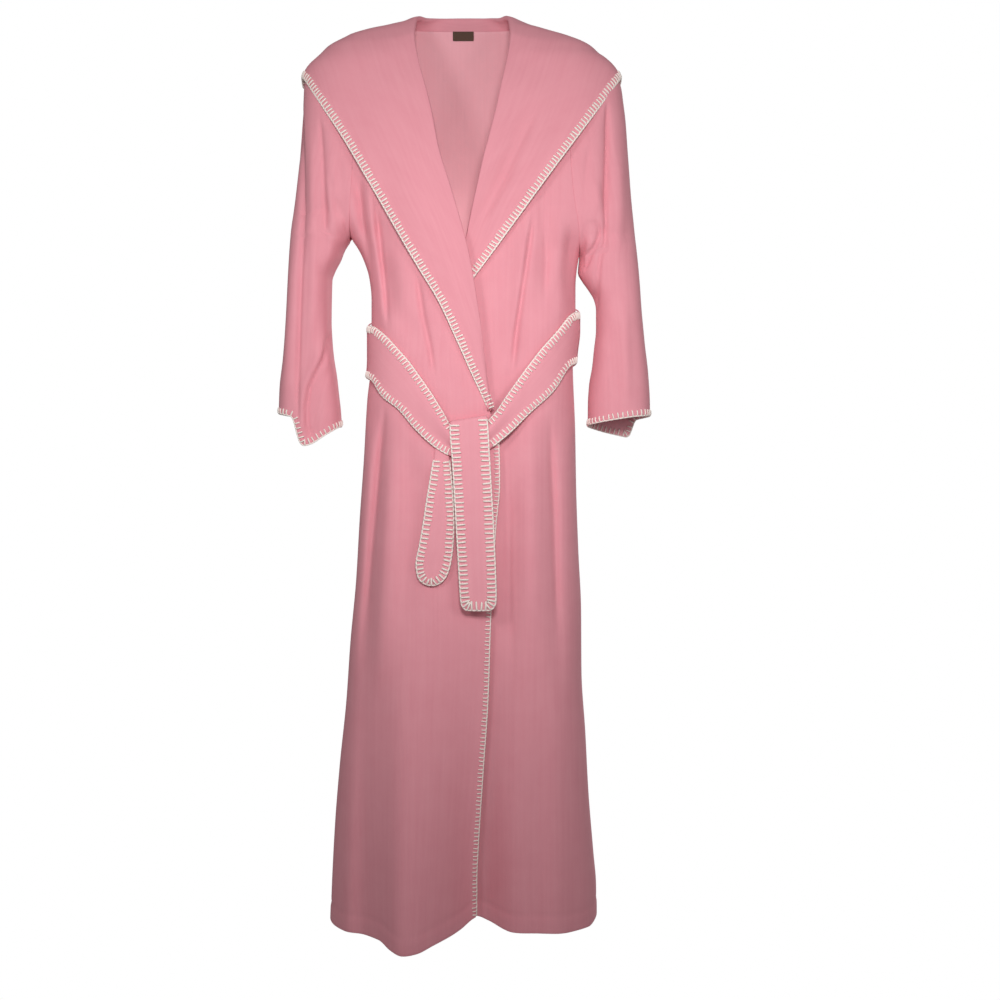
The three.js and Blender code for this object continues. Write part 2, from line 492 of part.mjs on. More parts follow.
function aroundTail(name, grid) {
  // down one edge, across the end and up the other
  const inner = offset(grid, -BELT_CLOTH, true);
  const mid = (i, j) => grid[i][j].clone().add(inner[i][j]).multiplyScalar(0.5);
  const n = grid.length;
  const m = grid[0].length;
  const ids = [];
  for (let i = 0; i < n; i++) ids.push([i, 0]);
  for (let j = 1; j < m - 1; j++) ids.push([n - 1, j]);
  for (let i = n - 1; i >= 0; i--) ids.push([i, m - 1]);
  const pts = ids.map(([i, j]) => mid(i, j));
  const face = ids.map(([i, j]) => grid[i][j].clone().sub(inner[i][j]).normalize());
  const out = pts.map((p, k) => {
    const a = pts[Math.max(k - 1, 0)];
    const b = pts[Math.min(k + 1, pts.length - 1)];
    const tan = b.clone().sub(a).normalize();
    const o = tan.clone().cross(face[k]);
    const c = mid(Math.floor(n / 2), 2);
    return o.dot(p.clone().sub(c)) < 0 ? o.negate() : o;
  });
  edging(name, pts, out, face);
}
aroundTail('belt_front_tail_stitch', tailF);
aroundTail('belt_back_tail_stitch', tailB);

// belt loops at the side seams
function beltLoop(name, x, side, top, bottom) {
  const sideAt = (z) => table(side < 0 ? SIDE_R : SIDE_L, z) + side * 2.4;
  const path = [[sideAt(top), top], [x + side * 11, top - 5], [x + side * 12, (top + bottom) / 2], [x + side * 14.4, bottom + 5], [sideAt(bottom), bottom]];
  const grid = path.map(([px, pz]) => [-4, 0, 4].map((y) => V(px, y, pz)));
  cloth(name, grid, side < 0 ? 1.4 : -1.4, false);
}
beltLoop('right_belt_loop', -135, -1, -434, -536);
beltLoop('left_belt_loop', 160, 1, -414, -520);

export default robe;
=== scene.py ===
"""Wrap robe in brushed knit: the visual model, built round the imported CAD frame."""

import json
import math

import bpy
import numpy as np
from mathutils import Vector
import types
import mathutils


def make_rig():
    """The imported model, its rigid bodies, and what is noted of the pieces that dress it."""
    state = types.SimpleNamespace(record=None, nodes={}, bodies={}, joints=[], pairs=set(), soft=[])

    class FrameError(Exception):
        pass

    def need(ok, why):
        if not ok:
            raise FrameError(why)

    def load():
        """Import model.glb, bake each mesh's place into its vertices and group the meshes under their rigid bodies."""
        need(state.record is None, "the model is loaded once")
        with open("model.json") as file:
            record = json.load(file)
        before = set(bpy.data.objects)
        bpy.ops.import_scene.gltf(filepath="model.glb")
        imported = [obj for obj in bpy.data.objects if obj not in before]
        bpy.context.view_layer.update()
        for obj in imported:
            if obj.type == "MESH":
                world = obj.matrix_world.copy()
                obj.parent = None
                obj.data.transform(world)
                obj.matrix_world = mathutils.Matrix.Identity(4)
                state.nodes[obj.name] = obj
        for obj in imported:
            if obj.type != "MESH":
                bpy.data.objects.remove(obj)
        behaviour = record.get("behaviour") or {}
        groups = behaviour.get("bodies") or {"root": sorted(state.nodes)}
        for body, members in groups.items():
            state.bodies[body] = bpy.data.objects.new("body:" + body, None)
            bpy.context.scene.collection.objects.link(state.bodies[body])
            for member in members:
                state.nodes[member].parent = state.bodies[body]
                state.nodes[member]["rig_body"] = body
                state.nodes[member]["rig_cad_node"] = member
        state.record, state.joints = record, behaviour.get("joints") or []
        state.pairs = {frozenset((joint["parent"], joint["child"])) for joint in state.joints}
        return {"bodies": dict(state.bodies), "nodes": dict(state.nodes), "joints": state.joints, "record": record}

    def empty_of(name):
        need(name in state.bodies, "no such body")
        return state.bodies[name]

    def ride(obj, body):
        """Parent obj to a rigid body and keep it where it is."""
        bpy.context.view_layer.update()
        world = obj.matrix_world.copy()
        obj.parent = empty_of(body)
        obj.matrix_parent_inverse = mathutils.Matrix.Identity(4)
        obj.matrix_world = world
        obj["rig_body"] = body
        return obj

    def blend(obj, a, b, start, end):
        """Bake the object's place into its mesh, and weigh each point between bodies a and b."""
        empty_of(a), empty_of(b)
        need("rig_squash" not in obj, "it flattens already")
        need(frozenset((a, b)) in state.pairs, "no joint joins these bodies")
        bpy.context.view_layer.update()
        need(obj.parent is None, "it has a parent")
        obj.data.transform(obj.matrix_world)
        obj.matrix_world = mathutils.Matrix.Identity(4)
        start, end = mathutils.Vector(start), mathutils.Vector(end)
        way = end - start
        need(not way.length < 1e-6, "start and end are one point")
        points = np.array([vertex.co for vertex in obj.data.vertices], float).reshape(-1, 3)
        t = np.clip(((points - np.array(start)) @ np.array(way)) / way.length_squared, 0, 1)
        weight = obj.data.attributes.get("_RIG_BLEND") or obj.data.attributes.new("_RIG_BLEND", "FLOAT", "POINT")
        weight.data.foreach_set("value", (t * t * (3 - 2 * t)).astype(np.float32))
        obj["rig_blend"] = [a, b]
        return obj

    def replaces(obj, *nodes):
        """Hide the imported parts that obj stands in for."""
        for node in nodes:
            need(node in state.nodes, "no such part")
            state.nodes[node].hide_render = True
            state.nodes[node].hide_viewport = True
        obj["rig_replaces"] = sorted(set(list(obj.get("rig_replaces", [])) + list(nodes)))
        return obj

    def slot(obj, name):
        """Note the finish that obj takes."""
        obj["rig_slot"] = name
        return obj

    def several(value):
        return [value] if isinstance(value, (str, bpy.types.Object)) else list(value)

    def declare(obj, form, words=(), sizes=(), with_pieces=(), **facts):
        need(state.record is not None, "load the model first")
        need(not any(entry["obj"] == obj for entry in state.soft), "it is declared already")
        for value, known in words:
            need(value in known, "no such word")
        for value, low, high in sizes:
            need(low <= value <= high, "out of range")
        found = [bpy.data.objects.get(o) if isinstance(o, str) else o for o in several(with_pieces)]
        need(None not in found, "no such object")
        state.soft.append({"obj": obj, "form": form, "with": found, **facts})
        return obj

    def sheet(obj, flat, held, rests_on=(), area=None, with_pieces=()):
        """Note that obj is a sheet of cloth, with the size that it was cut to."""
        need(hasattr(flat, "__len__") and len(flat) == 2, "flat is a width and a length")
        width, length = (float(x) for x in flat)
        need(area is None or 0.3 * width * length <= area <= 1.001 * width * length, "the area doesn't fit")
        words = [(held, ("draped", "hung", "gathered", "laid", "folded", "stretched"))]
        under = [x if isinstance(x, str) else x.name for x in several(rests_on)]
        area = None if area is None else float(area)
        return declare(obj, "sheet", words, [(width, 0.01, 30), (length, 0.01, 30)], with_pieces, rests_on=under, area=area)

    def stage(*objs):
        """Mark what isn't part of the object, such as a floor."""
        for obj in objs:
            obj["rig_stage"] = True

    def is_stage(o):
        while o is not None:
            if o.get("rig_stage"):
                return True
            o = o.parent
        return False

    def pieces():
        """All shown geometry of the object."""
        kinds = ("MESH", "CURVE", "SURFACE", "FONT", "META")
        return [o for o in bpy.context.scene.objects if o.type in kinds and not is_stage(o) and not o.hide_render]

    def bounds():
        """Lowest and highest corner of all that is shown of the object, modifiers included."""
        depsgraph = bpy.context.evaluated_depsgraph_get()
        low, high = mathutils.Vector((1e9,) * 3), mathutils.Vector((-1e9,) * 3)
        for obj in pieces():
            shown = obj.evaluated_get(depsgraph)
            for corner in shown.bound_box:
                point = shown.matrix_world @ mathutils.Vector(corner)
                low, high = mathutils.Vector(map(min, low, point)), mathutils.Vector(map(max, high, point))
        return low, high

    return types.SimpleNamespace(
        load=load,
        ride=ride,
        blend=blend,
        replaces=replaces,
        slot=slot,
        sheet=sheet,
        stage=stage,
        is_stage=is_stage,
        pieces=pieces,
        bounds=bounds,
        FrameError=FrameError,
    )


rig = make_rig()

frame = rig.load()
CAD_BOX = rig.bounds()
MM = 0.001
T_CLOTH = 2.2          # one layer of brushed knit
T_BELT = 4.2           # the belt: two layers, turned
WRAP_GAP = 10.0
E = 0.75

# ---- camera ------------------------------------------------------------------------------
cam_data = bpy.data.cameras.new("camera")
cam = bpy.data.objects.new("camera", cam_data)
bpy.context.scene.collection.objects.link(cam)
cam_data.sensor_width = 36.0
cam_data.lens = 36.0 * 2300.0 / 1450.0
cam_data.clip_start, cam_data.clip_end = 0.05, 60
cam.location = (0.05075, -2.3, -0.696)
cam.rotation_euler = (math.radians(90), 0, 0)
bpy.context.scene.camera = cam

# ---- tables, the same as the CAD's, in millimetres ----------------------------------------
SIDE_R = [[-8, -84], [-18, -106], [-28, -128], [-40, -165], [-52, -190], [-64, -206], [-90, -230], [-122, -233], [-200, -238],
          [-250, -240], [-285, -205], [-319, -164], [-348, -147], [-377, -138], [-406, -135], [-493, -135], [-551, -141], [-638, -146],
          [-725, -152], [-812, -157], [-899, -165], [-986, -171], [-1073, -180], [-1160, -187], [-1247, -191.5], [-1320, -194]]
SIDE_L = [[-8, 76], [-18, 96], [-28, 112], [-40, 150], [-52, 178], [-64, 195], [-90, 220], [-122, 227], [-200, 235],
          [-270, 240], [-310, 203], [-345, 165], [-391, 160], [-450, 160], [-493, 156], [-594, 159.5], [-681, 161], [-768, 164],
          [-855, 168], [-942, 168.5], [-1030, 174], [-1116, 178.5], [-1203, 185.6], [-1250, 189.5], [-1320, 190]]
FRONT_D = [[-8, 14], [-28, 26], [-40, 34], [-64, 46], [-90, 52], [-122, 57], [-200, 63], [-319, 70], [-450, 76], [-600, 82],
           [-850, 100], [-1100, 112], [-1320, 118]]
BACK_D = [[-8, 24], [-28, 32], [-64, 42], [-122, 48], [-200, 52], [-319, 56], [-450, 60], [-600, 66], [-850, 82],
          [-1100, 96], [-1320, 102]]
ARMHOLE_R = [[-64, -200], [-76, -188], [-84, -178], [-92, -168], [-104, -158], [-122, -155], [-160, -155], [-200, -156.5],
             [-250, -159.5], [-285, -162], [-319, -164]]
ARMHOLE_L = [[-64, 190], [-76, 179], [-84, 169], [-92, 160], [-104, 150.5], [-122, 147], [-160, 147.5], [-200, 149.5],
             [-270, 155.5], [-310, 162], [-345, 165]]
OUTER_EDGE = [[-28, -82], [-41, -79], [-106, -64], [-188, -45], [-219, -39], [-267, -24], [-335, -4], [-397, 9], [-500, 23],
              [-567, 36], [-617, 48], [-674, 49], [-732, 44], [-762, 42], [-851, 37], [-984, 32.6], [-1068, 27], [-1168, 21],
              [-1232, 18], [-1274, 17], [-1330, 16]]
INNER_EDGE = [[-28, 76], [-41, 73], [-116, 58], [-217, 34], [-334, 6], [-420, -22], [-520, -45], [-620, -55], [-900, -60],
              [-1330, -62]]
OUTER_HEM = [[-195, -1295], [-183, -1297], [-141, -1299], [-116, -1300], [-99, -1308], [-81, -1313], [-62, -1311], [-41, -1304],
             [-4, -1293], [12, -1283], [20, -1279]]
INNER_HEM = [[-65, -1280], [14, -1281], [35, -1287], [69, -1295], [115, -1295], [150, -1297], [176, -1297], [192, -1288]]
BACK_HEM = [[-195, -1294], [-100, -1290], [0, -1291], [100, -1289], [192, -1288]]
COLLAR_R = [[9, -36], [5.8, -72], [0, -88], [-5.8, -111], [-11.6, -135], [-17.4, -152], [-23.2, -167], [-29, -177],
            [-34.8, -188], [-40.6, -198], [-52, -210], [-58, -217], [-72.5, -231], [-87, -236.5], [-130, -242], [-200, -248], [-600, -256]]
COLLAR_L = [[9, 28], [5.8, 65], [0, 80], [-5.8, 94], [-11.6, 113], [-17.4, 130.5], [-23.2, 146], [-29, 159.5],
            [-34.8, 172.5], [-40.6, 183], [-52, 196], [-58, 205], [-72.5, 219], [-87, 226], [-130, 235], [-200, 243], [-600, 256]]


def smooth(t):
    c = np.clip(t, 0, 1)
    return c * c * (3 - 2 * c)


def gauss(x, m, s):
    return np.exp(-(((x - m) / s) ** 2))


class Tab:
    """Monotone cubic through a table's points."""

    def __init__(self, rows):
        r = np.array(sorted(rows), float)
        self.x, self.y = r[:, 0], r[:, 1]
        h = np.diff(self.x)
        d = np.diff(self.y) / h
        m = np.zeros(len(self.x))
        m[0], m[-1] = d[0], d[-1]
        for i in range(1, len(m) - 1):
            if d[i - 1] * d[i] > 0:
                w1, w2 = 2 * h[i] + h[i - 1], h[i] + 2 * h[i - 1]
                m[i] = (w1 + w2) / (w1 / d[i - 1] + w2 / d[i])
        self.m = m

    def __call__(self, t):
        t = np.clip(np.asarray(t, float), self.x[0], self.x[-1])
        i = np.clip(np.searchsorted(self.x, t) - 1, 0, len(self.x) - 2)
        h = self.x[i + 1] - self.x[i]
        s = (t - self.x[i]) / h
        a = (1 + 2 * s) * (1 - s) ** 2
        b = s * (1 - s) ** 2
        c = s * s * (3 - 2 * s)
        d = s * s * (s - 1)
        return a * self.y[i] + b * h * self.m[i] + c * self.y[i + 1] + d * h * self.m[i + 1]


side_r, side_l, front_d, back_d = Tab(SIDE_R), Tab(SIDE_L), Tab(FRONT_D), Tab(BACK_D)
arm_r, arm_l, outer_edge, inner_edge = Tab(ARMHOLE_R), Tab(ARMHOLE_L), Tab(OUTER_EDGE), Tab(INNER_EDGE)
outer_hem, inner_hem, back_hem = Tab(OUTER_HEM), Tab(INNER_HEM), Tab(BACK_HEM)
col_r, col_l = Tab(COLLAR_R), Tab(COLLAR_L)


def ripple(x, z, seed, amp=1.0):
    """Slow, seeded unevenness of hanging cloth."""
    rng = np.random.RandomState(seed)
    out = np.zeros(np.broadcast(x, z).shape)
    for _ in range(7):
        kx = rng.uniform(0.02, 0.085) * rng.choice([-1, 1])
        kz = rng.uniform(0.001, 0.018) * rng.choice([-1, 1])
        out = out + rng.uniform(0.4, 1.0) * np.sin(kx * x + kz * z + rng.uniform(0, 6.28))
    return amp * out / 3.0


def crease(x, z, line, amp, wl, wr=None, power=2.0):
    """A fold along a line of (x, z) points: amp out (+) or in (-), with its own width on each side."""
    p = np.array(line, float)
    p = p[np.argsort(p[:, 1])]
    zc = np.clip(z, p[0, 1], p[-1, 1])
    xf = np.interp(zc, p[:, 1], p[:, 0])
    t = (z - p[0, 1]) / (p[-1, 1] - p[0, 1])
    ends = smooth(t * 3.5) * smooth((1 - t) * 3.5)
    d = x - xf
    w = np.where(d < 0, wl, wr or wl)
    return amp * ends * np.exp(-np.abs(d / w) ** power)


def groove(x, z, pts, amp, w, taper=14.0):
    """A fold along any path of (x, z) points, fading out towards both ends."""
    p = np.array(pts, float)
    seg = np.linalg.norm(np.diff(p, axis=0), axis=1)
    L = np.concatenate([[0], np.cumsum(seg)])
    best = np.full(np.shape(x), 1e9)
    where = np.zeros(np.shape(x))
    for a, b, l0, l in zip(p[:-1], p[1:], L[:-1], seg):
        d = (b - a) / l
        t = np.clip((x - a[0]) * d[0] + (z - a[1]) * d[1], 0, l)
        dist = np.hypot(x - a[0] - t * d[0], z - a[1] - t * d[1])
        near = dist < best
        best = np.where(near, dist, best)
        where = np.where(near, l0 + t, where)
    ends = smooth(where / taper) * smooth((L[-1] - where) / taper)
    return amp * ends * np.exp(-((best / w) ** 2))


# folds of the front, as lines of (x, z)
def front_folds(x, z):
    f = 0
    # chest, between the collar's edge and the armhole
    f = f + crease(x, z, [(-152, -205), (-150, -260), (-143, -330), (-131, -380)], -5.0, 8, 13)
    f = f + crease(x, z, [(-139, -215), (-132, -290), (-122, -370)], 3.2, 10)
    f = f + crease(x, z, [(-127, -262), (-119, -330), (-108, -395), (-104, -450)], -4.5, 7, 13)
    f = f + crease(x, z, [(-92, -330), (-86, -400), (-80, -455)], 3.0, 14)
    f = f + crease(x, z, [(152, -300), (150, -360), (148, -430)], -5.0, 7, 10)
    f = f + crease(x, z, [(112, -250), (116, -330), (112, -420)], -3.2, 10, 18)
    f = f + crease(x, z, [(84, -310), (86, -380), (70, -470)], 2.6, 16)
    f = f + crease(x, z, [(132, -270), (134, -340), (128, -410)], 2.6, 11)
    # below the belt: soft pleats that run out down the skirt
    f = f + crease(x, z, [(-116, -548), (-124, -640), (-136, -790), (-146, -960)], -7.0, 8, 16)
    f = f + crease(x, z, [(-98, -570), (-104, -680), (-112, -840), (-118, -1000)], 4.5, 14, 20)
    f = f + crease(x, z, [(-70, -600), (-76, -740), (-84, -900)], -3.5, 14, 20)
    f = f + crease(x, z, [(118, -560), (124, -680), (130, -860), (134, -1000)], -4.0, 16, 12)
    f = f + crease(x, z, [(92, -590), (94, -720), (98, -900)], 3.4, 20)
    f = f + crease(x, z, [(66, -640), (66, -780), (70, -960)], -3.0, 16)
    f = 1.35 * f
    # the sharp lines in the bottoms of the folds
    f = f + groove(x, z, [(-149.8, -236), (-144, -300), (-137, -350), (-130, -392)], -4.4, 4.0, 40)
    f = f + groove(x, z, [(-127, -262), (-121, -320), (-113, -400), (-106, -462)], -5.2, 4.0, 50)
    f = f + groove(x, z, [(-68, -368), (-57.7, -437), (-48, -481), (-40, -535)], -4.4, 4.2, 40)
    f = f + crease(x, z, [(-98, -300), (-88, -400), (-72, -500)], -3.0, 16)
    right = [(100, -280), (87.4, -370), (74.7, -455), (67, -530)]
    f = f + groove(x, z, right, -4.2, 4.2, 50) + crease(x, z, right, -3.0, 4, 26)
    f = f + groove(x, z, [(-110, -548), (-120, -638), (-132.6, -780), (-140, -880)], -5.6, 4.6, 70)
    f = f + groove(x, z, [(159.5, -316), (155, -370), (151, -440)], -4.6, 4.0, 40)
    f = f + groove(x, z, [(112, -300), (117, -350), (113, -430)], -2.2, 4.0, 50)
    f = f + groove(x, z, [(120, -560), (127, -700), (132, -900)], -4.0, 5.0, 90)
    f = f + groove(x, z, [(62, -660), (64, -820), (68, -960)], -1.8, 4.6, 90)
    return f


def belt_line_front(x):
    """height of the belt's middle on the front at x"""
    return np.interp(x, [-140, -112, -90, -65, -42, -20, 0, 20, 38, 62, 93, 126, 150],
                     [-484, -506, -530, -560, -588, -611, -620, -618, -604, -577, -540, -503, -473])


def cinch(x, z, front):
    line = belt_line_front(x) if front else -480.0
    d = z - line
    return -3.5 * np.exp(-(d / 26) ** 2) + 4.0 * np.exp(-((d - 58) / 34) ** 2) + 2.4 * np.exp(-((d + 56) / 36) ** 2)


def skirt_front(x, z):
    t = np.clip((-600 - z) / 690, 0, 1)
    big = t ** 2 * (40 * np.exp(-np.abs((x + 82) / np.where(x < -82, 34, 52)) ** 2.0) - 46 * gauss(x, 21, 38))
    soft = t ** 1.2 * (5.0 * gauss(x, 62, 20) - 3.5 * gauss(x, 96, 16) + 5.0 * gauss(x, 130, 20) - 4.0 * gauss(x, -140, 13) + 4.5 * gauss(x, -166, 14))
    return big + soft


def skirt_back(x, z):
    t = np.clip((-520 - z) / 770, 0, 1) ** 1.1
    k = 9 * np.cos((x + 10) / 21.0) + 3.2 * np.cos((x - 30) / 11.5 + 0.8)
    return t * k


def back_folds(x, z):
    f = 0
    for k, (xa, xb, a) in enumerate([(-96, -120, -4), (-60, -74, 3.4), (-30, -38, -3.6), (4, 6, 3.6), (34, 40, -3.8), (70, 84, 3.4), (104, 126, -4)]):
        f = f + crease(x, z, [(xa, -520), ((xa + xb) / 2, -700), (xb, -960)], a, 13)
        f = f + crease(x, z, [(xa, -462), (xa * 1.05, -400), (xa * 1.1, -330)], -a * 0.7, 12)
    f = f + crease(x, z, [(-120, -230), (-40, -262), (0, -268)], 0, 10)
    return f


def depth(x, z, front, lift=0.0, wide=0.0, folds=True):
    x, z = np.broadcast_arrays(np.asarray(x, float), np.asarray(z, float))
    xl, xr = side_r(z) - wide, side_l(z) + wide
    s = np.clip(np.abs((x - (xl + xr) / 2) / ((xr - xl) / 2)), 0, 1)
    d = (front_d(z) if front else back_d(z)) + lift
    y = d * (1 - s ** (2 / E)) ** (E / 2)
    if folds:
        edge = np.clip((1 - s) * 6, 0, 1)
        if front:
            y = y + edge * (skirt_front(x, z) + front_folds(x, z) + cinch(x, z, True) + ripple(x, z, 3, 0.9) * smooth((-130 - z) / 90))
        else:
            y = y + edge * (skirt_back(x, z) + back_folds(x, z) + cinch(x, z, False) + ripple(x, z, 5, 1.3) * smooth((-60 - z) / 90))
    return y


# ---- meshes from grids ---------------------------------------------------------------------
def normals(g):
    du = np.gradient(g, axis=1)
    dv = np.gradient(g, axis=0)
    n = np.cross(du, dv)
    n /= np.linalg.norm(n, axis=2, keepdims=True) + 1e-12
    return n


def facing(n, g, centre):
    """Flip all normals so that, on the whole, they point away from centre (x, y)."""
    away = ((g[..., 0] - centre[0]) * n[..., 0] + (g[..., 1] - centre[1]) * n[..., 1]).sum()
    return n if away > 0 else -n


def grain_of(g, anchor=None):
    """Cloth coordinates of a grid in metres: across and along, by arc length, counted from x = anchor where given."""
    u = np.zeros(g.shape[:2])
    v = np.zeros(g.shape[:2])
    u[:, 1:] = np.cumsum(np.linalg.norm(np.diff(g, axis=1), axis=2), axis=1)
    v[1:, :] = np.cumsum(np.linalg.norm(np.diff(g, axis=0), axis=2), axis=0)
    if anchor is None:
        u -= u[:, u.shape[1] // 2][:, None]
    else:
        u -= np.array([np.interp(anchor, g[i, :, 0], u[i]) for i in range(len(u))])[:, None]
        v[:] = g[:1, :1, 2] - g[..., 2]
    return u * MM, v * MM


def make_object(name, verts, faces, grain=None, extra=None, flat=False):
    me = bpy.data.meshes.new(name)
    verts = np.asarray(verts, np.float32)
    quads = np.asarray(faces, np.int32)
    me.vertices.add(len(verts))
    me.vertices.foreach_set("co", verts.ravel())
    k = quads.shape[1]
    me.loops.add(quads.size)
    me.loops.foreach_set("vertex_index", quads.ravel())
    me.polygons.add(len(quads))
    me.polygons.foreach_set("loop_start", np.arange(0, quads.size, k, dtype=np.int32))
    me.polygons.foreach_set("loop_total", np.full(len(quads), k, np.int32))
    me.polygons.foreach_set("use_smooth", np.full(len(quads), not flat, bool))
    if grain is not None:
        a = me.attributes.new("grain", "FLOAT_VECTOR", "POINT")
        a.data.foreach_set("vector", np.asarray(grain, np.float32).ravel())
    me.update()
    me.validate()
    o = bpy.data.objects.new(name, me)
    bpy.context.scene.collection.objects.link(o)
    return o


def thick(name, g, t, centre=(0, 0), n=None, anchor=None, material=None, reverse=None, round_rim=2):
    """Closed cloth solid from a grid (mm) of its outer face: thickened inwards, with a rounded rim."""
    if n is None:
        n = facing(normals(g), g, centre)
    g = np.asarray(g, float)
    inner = g - n * t
    rows, cols = g.shape[:2]
    u, v = grain_of(g, anchor)
    verts = [g.reshape(-1, 3), inner.reshape(-1, 3)]
    grains = [np.stack([u, v, np.zeros_like(u)], -1).reshape(-1, 3)] * 2
    count = rows * cols
    idx = np.arange(count).reshape(rows, cols)
    a, b, c, d = idx[:-1, :-1], idx[:-1, 1:], idx[1:, 1:], idx[1:, :-1]
    outer_q = np.stack([a, b, c, d], -1).reshape(-1, 4)
    # orientation: make the outer face's winding agree with n
    p = g.reshape(-1, 3)
    fn = np.cross(p[outer_q[:, 1]] - p[outer_q[:, 0]], p[outer_q[:, 3]] - p[outer_q[:, 0]])
    if (fn * n.reshape(-1, 3)[outer_q[:, 0]]).sum() < 0:
        outer_q = outer_q[:, ::-1]
        sign = -1
    else:
        sign = 1
    inner_q = outer_q[:, ::-1] + count
    faces = [outer_q, inner_q]
    # rim: walk the border, with round_rim extra rings bulging outwards
    ring = np.concatenate([idx[0, :-1], idx[:-1, -1], idx[-1, :0:-1], idx[:0:-1, 0]])
    inward = np.concatenate([idx[1, :-1], idx[:-1, -2], idx[-2, :0:-1], idx[:0:-1, 1]])
    flat_g, flat_n, flat_i = g.reshape(-1, 3), n.reshape(-1, 3), inner.reshape(-1, 3)
    out = flat_g[ring] - flat_g[inward]
    out -= (out * flat_n[ring]).sum(1, keepdims=True) * flat_n[ring]
    out /= np.linalg.norm(out, axis=1, keepdims=True) + 1e-12
    rings = [ring]
    base = 2 * count
    for k in range(round_rim):
        th = math.pi * (k + 1) / (round_rim + 1)
        pt = flat_g[ring] - flat_n[ring] * t * (1 - math.cos(th)) / 2 + out * (t / 2) * math.sin(th) * 0.9
        verts.append(pt)
        grains.append(grains[0][ring])
        rings.append(base + np.arange(len(ring)))
        base += len(ring)
    rings.append(ring + count)
    for r0, r1 in zip(rings[:-1], rings[1:]):
        q = np.stack([r0, r1, np.roll(r1, -1), np.roll(r0, -1)], -1)
        faces.append(q if sign > 0 else q[:, ::-1])
    o = make_object(name, np.concatenate(verts) * MM, np.concatenate(faces), np.concatenate(grains))
    if material:
        o.data.materials.append(material)
    if reverse:
        o.data.materials.append(reverse)
        face = np.zeros(len(o.data.polygons), np.int32)
        face[len(outer_q):len(outer_q) + len(inner_q)] = 1
        o.data.polygons.foreach_set("material_index", face)
    return o, n


def resample_x(x0, x1, cols, ends):
    """x positions of a row: even across the cloth, and closer and closer towards a side seam, where the section turns."""
    k, w = 24, 14.0
    turn = w * (np.arange(k) / k) ** 2.67
    lead = x0 + turn if ends[0] else np.array([])
    tail = (x1 - turn)[::-1] if ends[1] else np.array([])
    a, b = x0 + (w if ends[0] else 0.0), x1 - (w if ends[1] else 0.0)
    return np.concatenate([lead, np.linspace(a, b, cols - len(lead) - len(tail)), tail])


def panel(zs, left, right, cols, front, hem=None, inset=None, ends=(True, True)):
    """Grid of a body panel: rows at zs; left(z), right(z) give its x ends; hem(x) bends the last rows."""
    g = np.zeros((len(zs), cols, 3))
    z0 = zs[0]
    zn = zs[-1]
    for i, z in enumerate(zs):
        x = resample_x(float(left(z)), float(right(z)), cols, ends)
        zz = np.full(cols, z)
        if hem is not None:
            # below -900 the rows spread towards the hem curve
            f = np.clip((-900 - z) / (-900 - zn), 0, 1)
            zz = z + f * (hem(x) - zn)
            c0, h0 = (float(side_r(z)) + float(side_l(z))) / 2, (float(side_l(z)) - float(side_r(z))) / 2
            x = (side_r(zz) + side_l(zz)) / 2 + (x - c0) / h0 * (side_l(zz) - side_r(zz)) / 2
        y = depth(x, zz, front)
        if inset is not None:
            y = y - inset(x, zz)
        y = np.maximum(y, 0.15)
        g[i] = np.stack([x, -y if front else y, zz], -1)
    return g


def level_rows(top, bottom, step):
    n = max(2, int(round((top - bottom) / step)))
    return np.linspace(top, bottom, n + 1)


